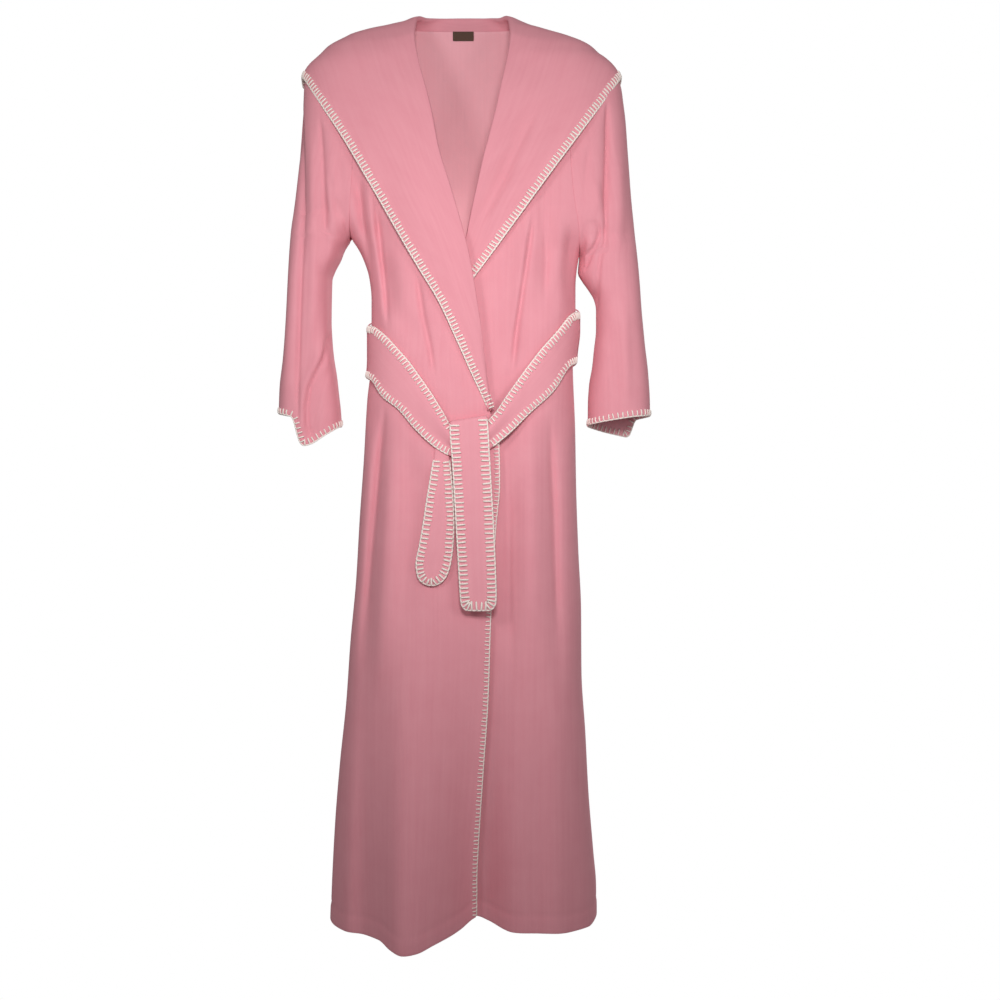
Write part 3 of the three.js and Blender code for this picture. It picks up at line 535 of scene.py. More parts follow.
# ---- materials -----------------------------------------------------------------------------
def knit_material(name, base, dark, light, rib=1.0):
    m = bpy.data.materials.new(name)
    m.use_nodes = True
    nt = m.node_tree
    for nd in list(nt.nodes):
        nt.nodes.remove(nd)
    out = nt.nodes.new("ShaderNodeOutputMaterial")
    bsdf = nt.nodes.new("ShaderNodeBsdfPrincipled")
    nt.links.new(bsdf.outputs[0], out.inputs[0])
    bsdf.inputs["Roughness"].default_value = 0.92
    bsdf.inputs["Specular IOR Level"].default_value = 0.18
    bsdf.inputs["Sheen Weight"].default_value = 0.18
    bsdf.inputs["Sheen Roughness"].default_value = 0.55
    bsdf.inputs["Sheen Tint"].default_value = (1.0, 0.66, 0.72, 1)
    att = nt.nodes.new("ShaderNodeAttribute")
    att.attribute_name = "grain"
    # streaks along the wales
    mp = nt.nodes.new("ShaderNodeMapping")
    mp.inputs["Scale"].default_value = (210, 6, 1)
    nt.links.new(att.outputs["Vector"], mp.inputs["Vector"])
    streak = nt.nodes.new("ShaderNodeTexNoise")
    streak.inputs["Scale"].default_value = 1.0
    streak.inputs["Detail"].default_value = 3.0
    nt.links.new(mp.outputs[0], streak.inputs["Vector"])
    # broad mottling of the brushed nap
    mot = nt.nodes.new("ShaderNodeTexNoise")
    mot.inputs["Scale"].default_value = 26.0
    mot.inputs["Detail"].default_value = 4.0
    mot.inputs["Roughness"].default_value = 0.6
    nt.links.new(att.outputs["Vector"], mot.inputs["Vector"])
    nap = nt.nodes.new("ShaderNodeTexNoise")
    nap.inputs["Scale"].default_value = 900.0
    nap.inputs["Detail"].default_value = 3.0
    nt.links.new(att.outputs["Vector"], nap.inputs["Vector"])
    ramp = nt.nodes.new("ShaderNodeValToRGB")
    ramp.color_ramp.elements[0].position = 0.30
    ramp.color_ramp.elements[0].color = (*dark, 1)
    ramp.color_ramp.elements[1].position = 0.72
    ramp.color_ramp.elements[1].color = (*light, 1)
    mid = ramp.color_ramp.elements.new(0.5)
    mid.color = (*base, 1)
    add = nt.nodes.new("ShaderNodeMath")
    add.operation = "MULTIPLY_ADD"
    add.inputs[1].default_value = 0.5
    nt.links.new(streak.outputs["Fac"], add.inputs[0])
    half = nt.nodes.new("ShaderNodeMath")
    half.operation = "MULTIPLY"
    half.inputs[1].default_value = 0.5
    nt.links.new(mot.outputs["Fac"], half.inputs[0])
    nt.links.new(half.outputs[0], add.inputs[2])
    nt.links.new(add.outputs[0], ramp.inputs["Fac"])
    nt.links.new(ramp.outputs["Color"], bsdf.inputs["Base Color"])
    # wale ribs with their loops, and the nap over them
    sep = nt.nodes.new("ShaderNodeSeparateXYZ")
    nt.links.new(att.outputs["Vector"], sep.inputs[0])
    wav = nt.nodes.new("ShaderNodeMath")
    wav.operation = "MULTIPLY"
    wav.inputs[1].default_value = 2 * math.pi / 0.0019
    nt.links.new(sep.outputs["X"], wav.inputs[0])
    sn = nt.nodes.new("ShaderNodeMath")
    sn.operation = "SINE"
    nt.links.new(wav.outputs[0], sn.inputs[0])
    wv2 = nt.nodes.new("ShaderNodeMath")
    wv2.operation = "MULTIPLY"
    wv2.inputs[1].default_value = 2 * math.pi / 0.0015
    nt.links.new(sep.outputs["Y"], wv2.inputs[0])
    sn2 = nt.nodes.new("ShaderNodeMath")
    sn2.operation = "SINE"
    nt.links.new(wv2.outputs[0], sn2.inputs[0])
    mul = nt.nodes.new("ShaderNodeMath")
    mul.operation = "MULTIPLY_ADD"
    mul.inputs[1].default_value = 0.35
    nt.links.new(sn2.outputs[0], mul.inputs[0])
    nt.links.new(sn.outputs[0], mul.inputs[2])
    h = nt.nodes.new("ShaderNodeMath")
    h.operation = "MULTIPLY_ADD"
    h.inputs[1].default_value = 0.22 * rib
    nt.links.new(mul.outputs[0], h.inputs[0])
    nt.links.new(nap.outputs["Fac"], h.inputs[2])
    bump = nt.nodes.new("ShaderNodeBump")
    bump.inputs["Strength"].default_value = 0.35
    bump.inputs["Distance"].default_value = 0.0006
    nt.links.new(h.outputs[0], bump.inputs["Height"])
    nt.links.new(bump.outputs[0], bsdf.inputs["Normal"])
    return m


def yarn_material(name, base, dark):
    m = bpy.data.materials.new(name)
    m.use_nodes = True
    nt = m.node_tree
    bsdf = nt.nodes["Principled BSDF"]
    bsdf.inputs["Roughness"].default_value = 0.85
    bsdf.inputs["Specular IOR Level"].default_value = 0.2
    bsdf.inputs["Sheen Weight"].default_value = 0.25
    bsdf.inputs["Sheen Roughness"].default_value = 0.5
    att = nt.nodes.new("ShaderNodeAttribute")
    att.attribute_name = "grain"
    # twist of the plies: stripes running round and along the yarn; the darker colour lies in the bump's low parts, as
    # painted shade in the grooves between the plies
    sep = nt.nodes.new("ShaderNodeSeparateXYZ")
    nt.links.new(att.outputs["Vector"], sep.inputs[0])
    s = nt.nodes.new("ShaderNodeMath")
    s.operation = "MULTIPLY_ADD"
    s.inputs[1].default_value = 2 * math.pi / 0.0016
    nt.links.new(sep.outputs["Y"], s.inputs[0])
    nt.links.new(sep.outputs["X"], s.inputs[2])
    sn = nt.nodes.new("ShaderNodeMath")
    sn.operation = "SINE"
    nt.links.new(s.outputs[0], sn.inputs[0])
    mr = nt.nodes.new("ShaderNodeMapRange")
    mr.inputs["From Min"].default_value = -1
    mr.inputs["From Max"].default_value = 1
    nt.links.new(sn.outputs[0], mr.inputs["Value"])
    # painted shade: the dark colour goes where the twist's bump is lowest, in the grooves between the plies
    mix = nt.nodes.new("ShaderNodeMix")
    mix.data_type = "RGBA"
    mix.inputs["A"].default_value = (*dark, 1)
    mix.inputs["B"].default_value = (*base, 1)
    nt.links.new(mr.outputs["Result"], mix.inputs["Factor"])
    nt.links.new(mix.outputs["Result"], bsdf.inputs["Base Color"])
    bump = nt.nodes.new("ShaderNodeBump")
    bump.inputs["Strength"].default_value = 0.6
    bump.inputs["Distance"].default_value = 0.0004
    nt.links.new(mr.outputs["Result"], bump.inputs["Height"])
    nt.links.new(bump.outputs[0], bsdf.inputs["Normal"])
    return m


KNIT = knit_material("brushed_knit", (0.800, 0.322, 0.378), (0.776, 0.300, 0.356), (0.824, 0.345, 0.400))
BELT = knit_material("belt_knit", (0.820, 0.340, 0.396), (0.796, 0.318, 0.374), (0.846, 0.364, 0.420), rib=0.8)
REVERSE = knit_material("knit_reverse", (0.86, 0.425, 0.475), (0.84, 0.405, 0.455), (0.88, 0.445, 0.495))
# the yarn's second, darker colour is painted shade in the grooves of its twist
YARN = yarn_material("ivory_yarn", (1.0, 0.935, 0.865), (0.94, 0.79, 0.74))


def label_material():
    m = bpy.data.materials.new("label_weave")
    m.use_nodes = True
    nt = m.node_tree
    bsdf = nt.nodes["Principled BSDF"]
    bsdf.inputs["Roughness"].default_value = 0.45
    bsdf.inputs["Sheen Weight"].default_value = 0.3
    att = nt.nodes.new("ShaderNodeAttribute")
    att.attribute_name = "grain"
    w = nt.nodes.new("ShaderNodeTexWave")
    w.bands_direction = "Y"
    w.inputs["Scale"].default_value = 500.0
    w.inputs["Distortion"].default_value = 0.4
    nt.links.new(att.outputs["Vector"], w.inputs["Vector"])
    mix = nt.nodes.new("ShaderNodeMix")
    mix.data_type = "RGBA"
    mix.inputs["A"].default_value = (0.045, 0.022, 0.012, 1)
    mix.inputs["B"].default_value = (0.13, 0.07, 0.04, 1)
    nt.links.new(w.outputs["Fac"], mix.inputs["Factor"])
    nt.links.new(mix.outputs["Result"], bsdf.inputs["Base Color"])
    b = nt.nodes.new("ShaderNodeBump")
    b.inputs["Distance"].default_value = 0.0002
    nt.links.new(w.outputs["Fac"], b.inputs["Height"])
    nt.links.new(b.outputs[0], bsdf.inputs["Normal"])
    return m


LABEL = label_material()
# the thread's second, darker colour is painted shade in the grooves of its twist
LOOP = yarn_material("loop_thread", (0.80, 0.32, 0.38), (0.62, 0.22, 0.28))


# ---- yarn ----------------------------------------------------------------------------------
def tube_mesh(paths, r, sides=6):
    """paths (K, m, 3) in mm -> verts, quads, grain of K capped tubes."""
    paths = np.asarray(paths, float)
    K, m = paths.shape[:2]
    tan = np.gradient(paths, axis=1)
    tan /= np.linalg.norm(tan, axis=2, keepdims=True) + 1e-12
    ref = np.where(np.abs(tan[:, 0, 2:3]) < 0.9, np.array([0, 0, 1.0]), np.array([1.0, 0, 0]))
    a = np.cross(tan[:, 0], ref)
    a /= np.linalg.norm(a, axis=1, keepdims=True) + 1e-12
    frames = [a]
    for i in range(1, m):
        a = a - (a * tan[:, i]).sum(1, keepdims=True) * tan[:, i]
        a = a / (np.linalg.norm(a, axis=1, keepdims=True) + 1e-12)
        frames.append(a)
    A = np.stack(frames, 1)
    B = np.cross(tan, A)
    th = np.arange(sides) * 2 * math.pi / sides
    rad = np.full(m, float(r))
    rad[0] *= 0.55
    rad[-1] *= 0.55
    v = paths[:, :, None, :] + rad[None, :, None, None] * (np.cos(th)[None, None, :, None] * A[:, :, None, :] + np.sin(th)[None, None, :, None] * B[:, :, None, :])
    L = np.concatenate([np.zeros((K, 1)), np.cumsum(np.linalg.norm(np.diff(paths, axis=1), axis=2), axis=1)], 1)
    gr = np.zeros((K, m, sides, 3))
    gr[..., 0] = th[None, None, :]
    gr[..., 1] = (L * MM)[:, :, None]
    idx = np.arange(K * m * sides).reshape(K, m, sides)
    nxt = np.roll(idx, -1, axis=2)
    q = np.stack([idx[:, :-1], nxt[:, :-1], nxt[:, 1:], idx[:, 1:]], -1).reshape(-1, 4)
    caps = []
    if sides == 6:
        for ring, rev in ((idx[:, 0], True), (idx[:, -1], False)):
            c1 = ring[:, [0, 1, 2, 3]]
            c2 = ring[:, [0, 3, 4, 5]]
            for c in (c1, c2):
                caps.append(c[:, ::-1] if rev else c)
    faces = np.concatenate([q] + caps)
    return v.reshape(-1, 3), faces, gr.reshape(-1, 3)


def blanket(name, edge, out, nrm, t, material, pitch=6.8, bar=8.0, r=0.85, seed=1, both=True, inset0=0.0):
    """Blanket stitching along an edge: bars over the edge and the purl yarn along it.
    edge: points on the outer face's border (mm); out: away from the cloth, in its plane; nrm: outer normals."""
    edge = np.asarray(edge, float)
    L = np.concatenate([[0], np.cumsum(np.linalg.norm(np.diff(edge, axis=0), axis=1))])
    count = max(3, int(round((L[-1] - 2 * inset0) / pitch)))
    rng = np.random.RandomState(seed)
    s = inset0 + (np.arange(count) + 0.5) * (L[-1] - 2 * inset0) / count + rng.uniform(-0.5, 0.5, count)

    def at(arr, q):
        return np.stack([np.interp(q, L, arr[:, k]) for k in range(3)], -1)

    def unit(a):
        return a / (np.linalg.norm(a, axis=-1, keepdims=True) + 1e-12)

    P, O, N = at(edge, s), unit(at(out, s)), unit(at(nrm, s))
    Tn = unit(at(edge, np.minimum(s + 1, L[-1])) - at(edge, np.maximum(s - 1, 0)))
    lean = rng.uniform(-0.7, 0.7, count)[:, None]
    ln = (bar + rng.uniform(-0.8, 0.8, count))[:, None]
    up = r * 0.75
    pts = [
        P - O * ln + N * (-0.3) + Tn * lean,
        P - O * (ln - 0.8) + N * up + Tn * lean,
        P - O * (ln * 0.55) + N * (up + 0.25) + Tn * lean * 0.6,
        P - O * 0.6 + N * (up + 0.1),
        P + O * (r * 0.9) - N * (t * 0.15),
        P + O * (r * 1.0) - N * (t * 0.8),
    ]
    if both:
        pts += [
            P - O * 0.6 - N * (t + up),
            P - O * (ln * 0.55) - N * (t + up + 0.2) + Tn * lean * 0.6,
            P - O * (ln - 0.8) - N * (t + up) + Tn * lean,
            P - O * ln - N * (t - 0.3) + Tn * lean,
        ]
    v1, f1, g1 = tube_mesh(np.stack(pts, 1), r)
    # purl along the edge, pulled in a little at each bar
    m = count * 4
    q = np.linspace(s[0] - pitch * 0.4, s[-1] + pitch * 0.4, m)
    q = np.clip(q, 0, L[-1])
    Pe, Oe, Ne = at(edge, q), unit(at(out, q)), unit(at(nrm, q))
    near = np.abs(((q[:, None] - s[None, :]) / pitch)).min(1)
    path = Pe + Oe * (r * (1.25 - 0.35 * (1 - np.clip(near * 2, 0, 1)))[:, None]) - Ne * (t * 0.32) + Ne * (0.55 * (1 - np.clip(near * 2, 0, 1)))[:, None]
    v2, f2, g2 = tube_mesh(path[None], r * 0.95)
    o = make_object(name, np.concatenate([v1, v2]) * MM, np.concatenate([f1, f2 + len(v1)]), np.concatenate([g1, g2]))
    o.data.materials.append(material)
    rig.slot(o, "edge_yarn")
    return o


def edge_frames(g, n, which):
    """Edge points, outward directions and normals of a grid's border: first or last column, or bottom row."""
    if which == "first":
        e, i, nn = g[:, 0], g[:, 1], n[:, 0]
    elif which == "last":
        e, i, nn = g[:, -1], g[:, -2], n[:, -1]
    else:
        e, i, nn = g[-1], g[-2], n[-1]
    tan = np.gradient(e, axis=0)
    tan /= np.linalg.norm(tan, axis=1, keepdims=True) + 1e-12
    o = e - i
    o -= (o * tan).sum(1, keepdims=True) * tan
    o -= (o * nn).sum(1, keepdims=True) * nn
    o /= np.linalg.norm(o, axis=1, keepdims=True) + 1e-12
    return e, o, nn


def area_of(g):
    a = g[1:, :-1] - g[:-1, :-1]
    b = g[:-1, 1:] - g[:-1, :-1]
    return float(np.linalg.norm(np.cross(a, b), axis=2).sum()) * 1e-6


# ---- body panels ---------------------------------------------------------------------------
STEP = 5.0


def left_bound(z):
    z = float(z)
    return float(side_r(z)) if (z < -319 or z > -64) else float(arm_r(z))


def right_bound(z):
    z = float(z)
    return float(side_l(z)) if (z < -345 or z > -64) else float(arm_l(z))


def inner_inset(x, z):
    return WRAP_GAP * (1 - smooth((x - 55) / 45)) * smooth((-200 - z) / 60)


rows_top = np.concatenate([level_rows(-30, -64, 4)[:-1], level_rows(-64, -122, 4)[:-1], level_rows(-122, -1240, STEP)[:-1], level_rows(-1240, -1296, 4)])
g_rf = panel(rows_top, left_bound, lambda z: outer_edge(z) - 3.0 * float(smooth((z + 590) / 40)), 130, True, hem=lambda x: outer_hem(x), ends=(True, False))
g_lf = panel(rows_top, lambda z: inner_edge(z), right_bound, 130, True, hem=lambda x: inner_hem(x), inset=inner_inset, ends=(False, True))
rows_back = np.concatenate([level_rows(-10, -64, 4)[:-1], level_rows(-64, -122, 4)[:-1], level_rows(-122, -1240, STEP)[:-1], level_rows(-1240, -1296, 4)])
g_bk = panel(rows_back, left_bound, right_bound, 190, False, hem=lambda x: back_hem(x))


def hem_turn(g):
    """The turned hem: a shallow line of stitches about 22 mm up, the doubled cloth below it a little proud."""
    n = facing(normals(g), g, (0, 0))
    dz = g[..., 2] - g[-1, :, 2][None, :]
    band = smooth((24 - dz) / 5)
    groove = np.exp(-((dz - 22) / 3.2) ** 2)
    return g + n * (0.7 * band - 0.9 * groove)[..., None]


g_rf, g_lf, g_bk = hem_turn(g_rf), hem_turn(g_lf), hem_turn(g_bk)
rf, n_rf = thick("right_front", g_rf, T_CLOTH, anchor=-100.0, material=KNIT, reverse=REVERSE)
lf, n_lf = thick("left_front", g_lf, T_CLOTH, anchor=100.0, material=KNIT, reverse=REVERSE)
bk, n_bk = thick("back", g_bk, T_CLOTH, anchor=0.0, material=KNIT, reverse=REVERSE)

# the outer front's free corner swings about the big fold's crest; the cloth twists towards it
CORNER = dict(start=(0.045 * 0 + 0.0100, -0.10, -0.790), end=(0.0100 + 0.928 * 0.150, -0.10, -0.790 - 0.371 * 0.150))
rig.blend(rf, "torso", "front_corner", **CORNER)
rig.ride(lf, "torso")
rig.ride(bk, "torso")
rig.replaces(rf, "right_front_panel", "right_front_flap")
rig.replaces(lf, "left_front_panel")
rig.replaces(bk, "back_panel", "back_yoke_right", "back_yoke_centre", "back_yoke_left")
for o in (rf, lf, bk):
    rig.slot(o, "robe_knit")

# blanket stitching of the two front edges
k0 = int(np.argmin(np.abs(rows_top + 612)))
e, o_, nn = edge_frames(g_rf, n_rf, "last")
st_front = blanket("front_edge_stitches", e[k0:], o_[k0:], nn[k0:], T_CLOTH, YARN, pitch=5.6, bar=6.0, r=0.95, seed=11)
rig.blend(st_front, "torso", "front_corner", **CORNER)
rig.replaces(st_front, "front_edge_stitch_upper", "front_edge_stitch_lower")
e, o_, nn = edge_frames(g_lf, n_lf, "first")
k1 = int(np.argmin(np.abs(rows_top + 400)))
st_inner = blanket("inner_edge_stitches", e[k1:], o_[k1:], nn[k1:], T_CLOTH, YARN, pitch=5.6, bar=6.0, r=0.95, seed=12)
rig.ride(st_inner, "torso")
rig.replaces(st_inner, "inner_edge_stitch")

# ---- sleeves -------------------------------------------------------------------------------
SL_R = dict(
    out=[[-66, -206], [-76, -219], [-87, -229], [-100, -232.5], [-122, -233.4], [-160, -236], [-203, -239.2], [-261, -243.6], [-319, -249.4], [-377, -253.8],
         [-435, -257.5], [-493, -262.4], [-551, -268.2], [-620, -270]],
    inn=[[-319, -166], [-333, -175], [-348, -181], [-362, -188.5], [-377, -193.5], [-435, -194.3], [-464, -192.8], [-493, -189.9], [-522, -185.6],
         [-551, -182.7], [-580, -179.8], [-620, -178]],
    arm=arm_r, pit=-319.0, side=-1)
SL_L = dict(
    out=[[-66, 196], [-76, 209], [-87, 219], [-100, 226], [-122, 229.1], [-145, 232], [-203, 236.3], [-261, 240.7], [-319, 246.5], [-377, 252.3],
         [-420, 255.2], [-464, 259.5], [-522, 265.4], [-573, 268.2], [-620, 269]],
    inn=[[-345, 165.5], [-358, 164.2], [-367, 163.6], [-377, 168.5], [-391, 178.3], [-406, 187], [-420, 189.9], [-449, 189.9], [-478, 187], [-507, 184.2], [-536, 179.8],
         [-565, 178.3], [-620, 178]],
    arm=arm_l, pit=-345.0, side=1)
SLEEVE_D = Tab([[-66, 30], [-90, 42], [-122, 50], [-200, 53], [-290, 49], [-340, 46.5], [-377, 45], [-435, 43.5], [-500, 42], [-620, 40]])


def sleeve_grid(sp, hem_front, hem_back, folds, cols=124):
    out_t, inn_t = Tab(sp["out"]), Tab(sp["inn"])
    side, pit = sp["side"], sp["pit"]
    zs = np.concatenate([level_rows(-68, -122, 4)[:-1], level_rows(-122, -560, STEP)[:-1], level_rows(-560, -600, 4)])
    g = np.zeros((len(zs), cols, 3))
    ang = np.zeros((len(zs), cols))
    for i, z in enumerate(zs):
        xo = float(out_t(z))
        if z > pit:
            xi = float(sp["arm"](z)) + side * 1.0
            ef = float(depth(xi, z, True, folds=False))
            eb = float(depth(xi, z, False, folds=False))
        else:
            xi = float(inn_t(z))
            ef = eb = 0.35
        # below the armpit the section closes over a short stretch
        hd = float(SLEEVE_D(z))
        hf = max(hd, ef + 0.01)
        hb = max(hd * 0.82, eb + 0.01)
        p = 0.8
        a_f = math.asin(min(1.0, (ef / hf)) ** (1 / p))
        a_b = math.asin(min(1.0, (eb / hb)) ** (1 / p))
        a = np.concatenate([np.linspace(a_f, math.pi, 500)[:-1], np.linspace(math.pi, 2 * math.pi - a_b, 500)])
        c, s = np.cos(a), np.sin(a)
        kf, kb = math.cos(a_f) ** p, math.cos(a_b) ** p
        hwf, hwb = abs(xi - xo) / (1 + kf), abs(xi - xo) / (1 + kb)
        hw = np.where(a <= math.pi, hwf, hwb)
        x = xo - side * (hw + hw * np.sign(c) * np.abs(c) ** p)
        y = np.where(s > 0, -hf, hb) * np.abs(s) ** p
        L = np.concatenate([[0], np.cumsum(np.hypot(np.diff(x), np.diff(y)))])
        q = np.linspace(0, L[-1], cols)
        g[i, :, 0], g[i, :, 1] = np.interp(q, L, x), np.interp(q, L, y)
        ang[i] = np.interp(q, L, a)
        g[i, :, 2] = z
    # hem line: shift the last rows so that the cuff follows its own curve
    x = g[-1, :, 0]
    target = np.where(ang[-1] < math.pi, hem_front(x), hem_back(x))
    # smooth the target round the cuff
    ker = np.hanning(7); ker /= ker.sum()
    target = np.convolve(np.pad(target, 3, mode="edge"), ker, mode="valid")
    f = np.clip((-470 - g[..., 2]) / (-470 + 600), 0, 1) ** 1.2
    g[..., 2] += f * (target - (-600))[None, :]
    n = facing(normals(g), g, (x.mean(), 0))
    n = normals(g)
    mid = np.stack([g[..., 0].mean(1), g[..., 1].mean(1) * 0], -1)
    away = ((g[..., 0] - mid[:, None, 0]) * n[..., 0] + g[..., 1] * n[..., 1]).sum()
    if away < 0:
        n = -n
    front = g[..., 1] < 0
    d = folds(g[..., 0], g[..., 2], front, ang)
    keep = np.minimum(1, np.minimum(ang - ang[:, :1], ang[:, -1:] - ang) / 0.25)
    g = g + n * (d * np.clip(keep, 0, 1))[..., None]
    # height of each point above the cuff's edge, which nothing uses
    dz = g[..., 2] - g[-1, :, 2][None, :]
    return g, ang


def folds_right(x, z, front, ang):
    f = ripple(ang * 60, z, 21, 1.1) * smooth((-110 - z) / 60)
    fr = front.astype(float)
    long = [(-237, -118), (-234, -200), (-230.5, -303), (-236, -444), (-238.5, -530), (-236, -600)]
    f = f + fr * (groove(x, z, long, -3.0, 3.4, 40) + crease(x, z, long, -3.4, 5, 26))
    f = f + fr * crease(x, z, [(-247, -200), (-249, -380), (-256, -590)], 3.0, 8)
    inner = [(-206, -147), (-203, -200), (-199, -267), (-194.6, -352)]
    f = f + fr * (groove(x, z, inner, -2.4, 3.0, 30) + crease(x, z, inner, -3.2, 12, 8))
    f = f + fr * crease(x, z, [(-219, -150), (-216, -260), (-214, -400), (-222, -500)], 4.2, 9)
    cuff = [(-193, -452), (-195.5, -468), (-201.7, -497.4), (-213, -520), (-220.5, -536), (-225.2, -565.5), (-224, -590), (-216, -612)]
    f = f + fr * (groove(x, z, cuff, -4.4, 3.2, 16) + groove(x, z, [(p + 8, q - 4) for p, q in cuff[2:]], -3.2, 9, 26) + groove(x, z, [(p - 8, q + 3) for p, q in cuff[1:]], 3.0, 7, 26))
    f = f + fr * (groove(x, z, [(-183, -270), (-176, -283), (-167.5, -299), (-168, -316)], -3.4, 3.2, 8) + groove(x, z, [(-190, -230), (-186, -262), (-178, -300)], -2.6, 4.5, 14))
    f = f + fr * crease(x, z, [(-178, -200), (-172, -255), (-170, -300)], -4.5, 8, 8)
    f = f + fr * crease(x, z, [(-188, -220), (-187, -300), (-200, -380)], 3.4, 8)
    f = f + (1 - fr) * crease(x, z, [(-230, -260), (-236, -400), (-240, -560)], -4.0, 8)
    f = f + (1 - fr) * crease(x, z, [(-205, -200), (-208, -330), (-212, -500)], -3.5, 8)
    f = f + (1 - fr) * crease(x, z, [(-218, -180), (-222, -330), (-226, -520)], 3.5, 9)
    return f


def folds_left(x, z, front, ang):
    f = ripple(ang * 60, z, 27, 1.1) * smooth((-110 - z) / 60)
    fr = front.astype(float)
    f = f + fr * (crease(x, z, [(204, -130), (205, -191), (202, -266), (201, -320)], -4.5, 9, 6) + groove(x, z, [(203.5, -125), (204.8, -191), (201.5, -266), (201, -325)], -4.0, 3.0, 26))
    f = f + fr * groove(x, z, [(178, -190), (172, -236), (167, -290)], -2.8, 4.0, 24)
    f = f + fr * crease(x, z, [(220, -180), (220, -280), (214, -380)], 4.0, 10)
    f = f + fr * crease(x, z, [(186, -240), (188, -262), (191, -290)], 3.4, 8)
    f = f + fr * groove(x, z, [(166.5, -372), (167.5, -344), (170, -312), (175.4, -305), (186, -305.5), (192.2, -313), (191.8, -322), (185.2, -335), (175, -354), (168.5, -368)], -4.6, 3.0, 10)
    f = f + fr * groove(x, z, [(181, -316), (179, -330), (173, -350)], 3.4, 6.0)
    f = f + fr * groove(x, z, [(202, -300), (199.7, -334), (193, -350), (189, -386), (187.5, -428)], -4.2, 3.2, 14)
    f = f + fr * crease(x, z, [(236, -330), (240, -440), (243, -560)], -1.0, 9, 11)
    f = f + fr * crease(x, z, [(212, -430), (216, -500), (220, -570)], -1.2, 12, 8)
    f = f + fr * crease(x, z, [(226, -400), (229, -500), (231, -580)], 3.0, 9)
    f = f + (1 - fr) * crease(x, z, [(228, -260), (236, -400), (240, -560)], -4.0, 8)
    f = f + (1 - fr) * crease(x, z, [(205, -200), (208, -330), (212, -500)], -3.5, 8)
    f = f + (1 - fr) * crease(x, z, [(218, -180), (222, -330), (226, -520)], 3.5, 9)
    return f


g_sr, _ = sleeve_grid(SL_R, lambda x: np.interp(x, [-268, -244, -240, -235, -230, -217, -180], [-570, -576, -592, -613, -618, -614, -589]),
                      lambda x: np.interp(x, [-268, -225, -180], [-570, -577, -587]), folds_right)
g_sl, _ = sleeve_grid(SL_L, lambda x: np.interp(x, [178, 203, 241, 268], [-586, -581.5, -575.6, -573]),
                      lambda x: np.interp(x, [178, 205, 236, 240, 244, 248, 268], [-588, -595, -602, -603, -588, -577, -573]), folds_left)
sleeves = []
for name, g, cx, body, node, stitch, seed, piv in (
        ("right_sleeve_cloth", g_sr, -205, "right_sleeve_body", "right_sleeve", "right_cuff_stitch", 31, dict(start=(-0.1518, 0, -0.3256), end=(-0.1927, 0, -0.4133))),
        ("left_sleeve_cloth", g_sl, 200, "left_sleeve_body", "left_sleeve", "left_cuff_stitch", 32, dict(start=(0.1640, 0, -0.3516), end=(0.2020, 0, -0.4332)))):
    o, n = thick(name, g, T_CLOTH, centre=(cx, 0), material=KNIT, reverse=REVERSE)
    span = piv
    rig.blend(o, "torso", body, **span)
    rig.replaces(o, node, node + "_head")
    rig.slot(o, "robe_knit")
    e, o_, nn = edge_frames(g, n, "bottom")
    st = blanket(name.replace("sleeve_cloth", "cuff_stitches"), e, o_, nn, T_CLOTH, YARN, pitch=7.0, bar=7.2, r=1.1, seed=seed)
    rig.ride(st, body)
    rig.replaces(st, stitch)
    sleeves.append((o, g))

# ---- collar --------------------------------------------------------------------------------
def collar_depth(x, z, front, lift):
    xl, xr = col_r(z), col_l(z)
    s = np.clip(np.abs((x - (xl + xr) / 2) / ((xr - xl) / 2)), 0, 1)
    zz = np.minimum(z, -8)
    d = (front_d(zz) if front else back_d(zz)) + lift
    return d * (1 - s ** (2 / E)) ** (E / 2)


def collar_map(side):
    """For one half, (x, L) -> (y, z): L is cloth length from the shoulder ridge, negative in front."""
    xs = np.linspace(0.0, 236.0 if side < 0 else 225.5, 220)
    t = COLLAR_R if side < 0 else COLLAR_L
    xa = np.array([abs(r[1]) for r in t]); za = np.array([r[0] for r in t])
    ok = za >= -90
    ridge = Tab([[a, b] for a, b in zip(xa[ok], za[ok])])
    tabs = []
    q = np.linspace(0, 1, 260)
    for x in xs:
        zr = float(ridge(max(x, xa[0])))
        cols = {}
        for front, reach in ((True, 620.0), (False, 270.0)):
            zz = zr - reach * q ** 2
            y = collar_depth(side * x, zz, front, 11.0 if front else 14.0)
            if y[0] > 0.5:
                # over the neck hole the map runs on as a flat roof, so that lengths join up with the shoulders'
                y, zz = np.concatenate([[0.0], y]), np.concatenate([[zr], zz])
            L = np.concatenate([[0], np.cumsum(np.hypot(np.diff(y), np.diff(zz)))])
            cols[front] = (L, y, zz)
        tabs.append(cols)

    def f(x, L):
        x = np.abs(x)
        k = np.clip(np.interp(x, xs, np.arange(len(xs))), 0, len(xs) - 1.001)
        i = k.astype(int)
        w = k - i
        out = np.zeros(x.shape + (2,))
        flat_x, flat_L, flat_i, flat_w = x.ravel(), L.ravel(), i.ravel(), w.ravel()
        res = out.reshape(-1, 2)
        for m in range(len(flat_x)):
            l = flat_L[m]
            fr = l < 0
            for kk, ww in ((flat_i[m], 1 - flat_w[m]), (flat_i[m] + 1, flat_w[m])):
                LL, yy, zz = tabs[kk][fr]
                y = np.interp(abs(l), LL, yy)
                z = np.interp(abs(l), LL, zz)
                res[m, 0] += ww * (-y if fr else y)
                res[m, 1] += ww * z
        return out

    def length_at(x, z):
        """L of the front point at (x, z)."""
        k = min(max(np.interp(abs(x), xs, np.arange(len(xs))), 0), len(xs) - 1.001)
        out = 0.0
        for i, w in ((int(k), 1 - (k - int(k))), (int(k) + 1, k - int(k))):
            LL, yy, zz = tabs[i][True]
            out -= w * float(np.interp(-z, -zz, LL))
        return out

    return f, length_at


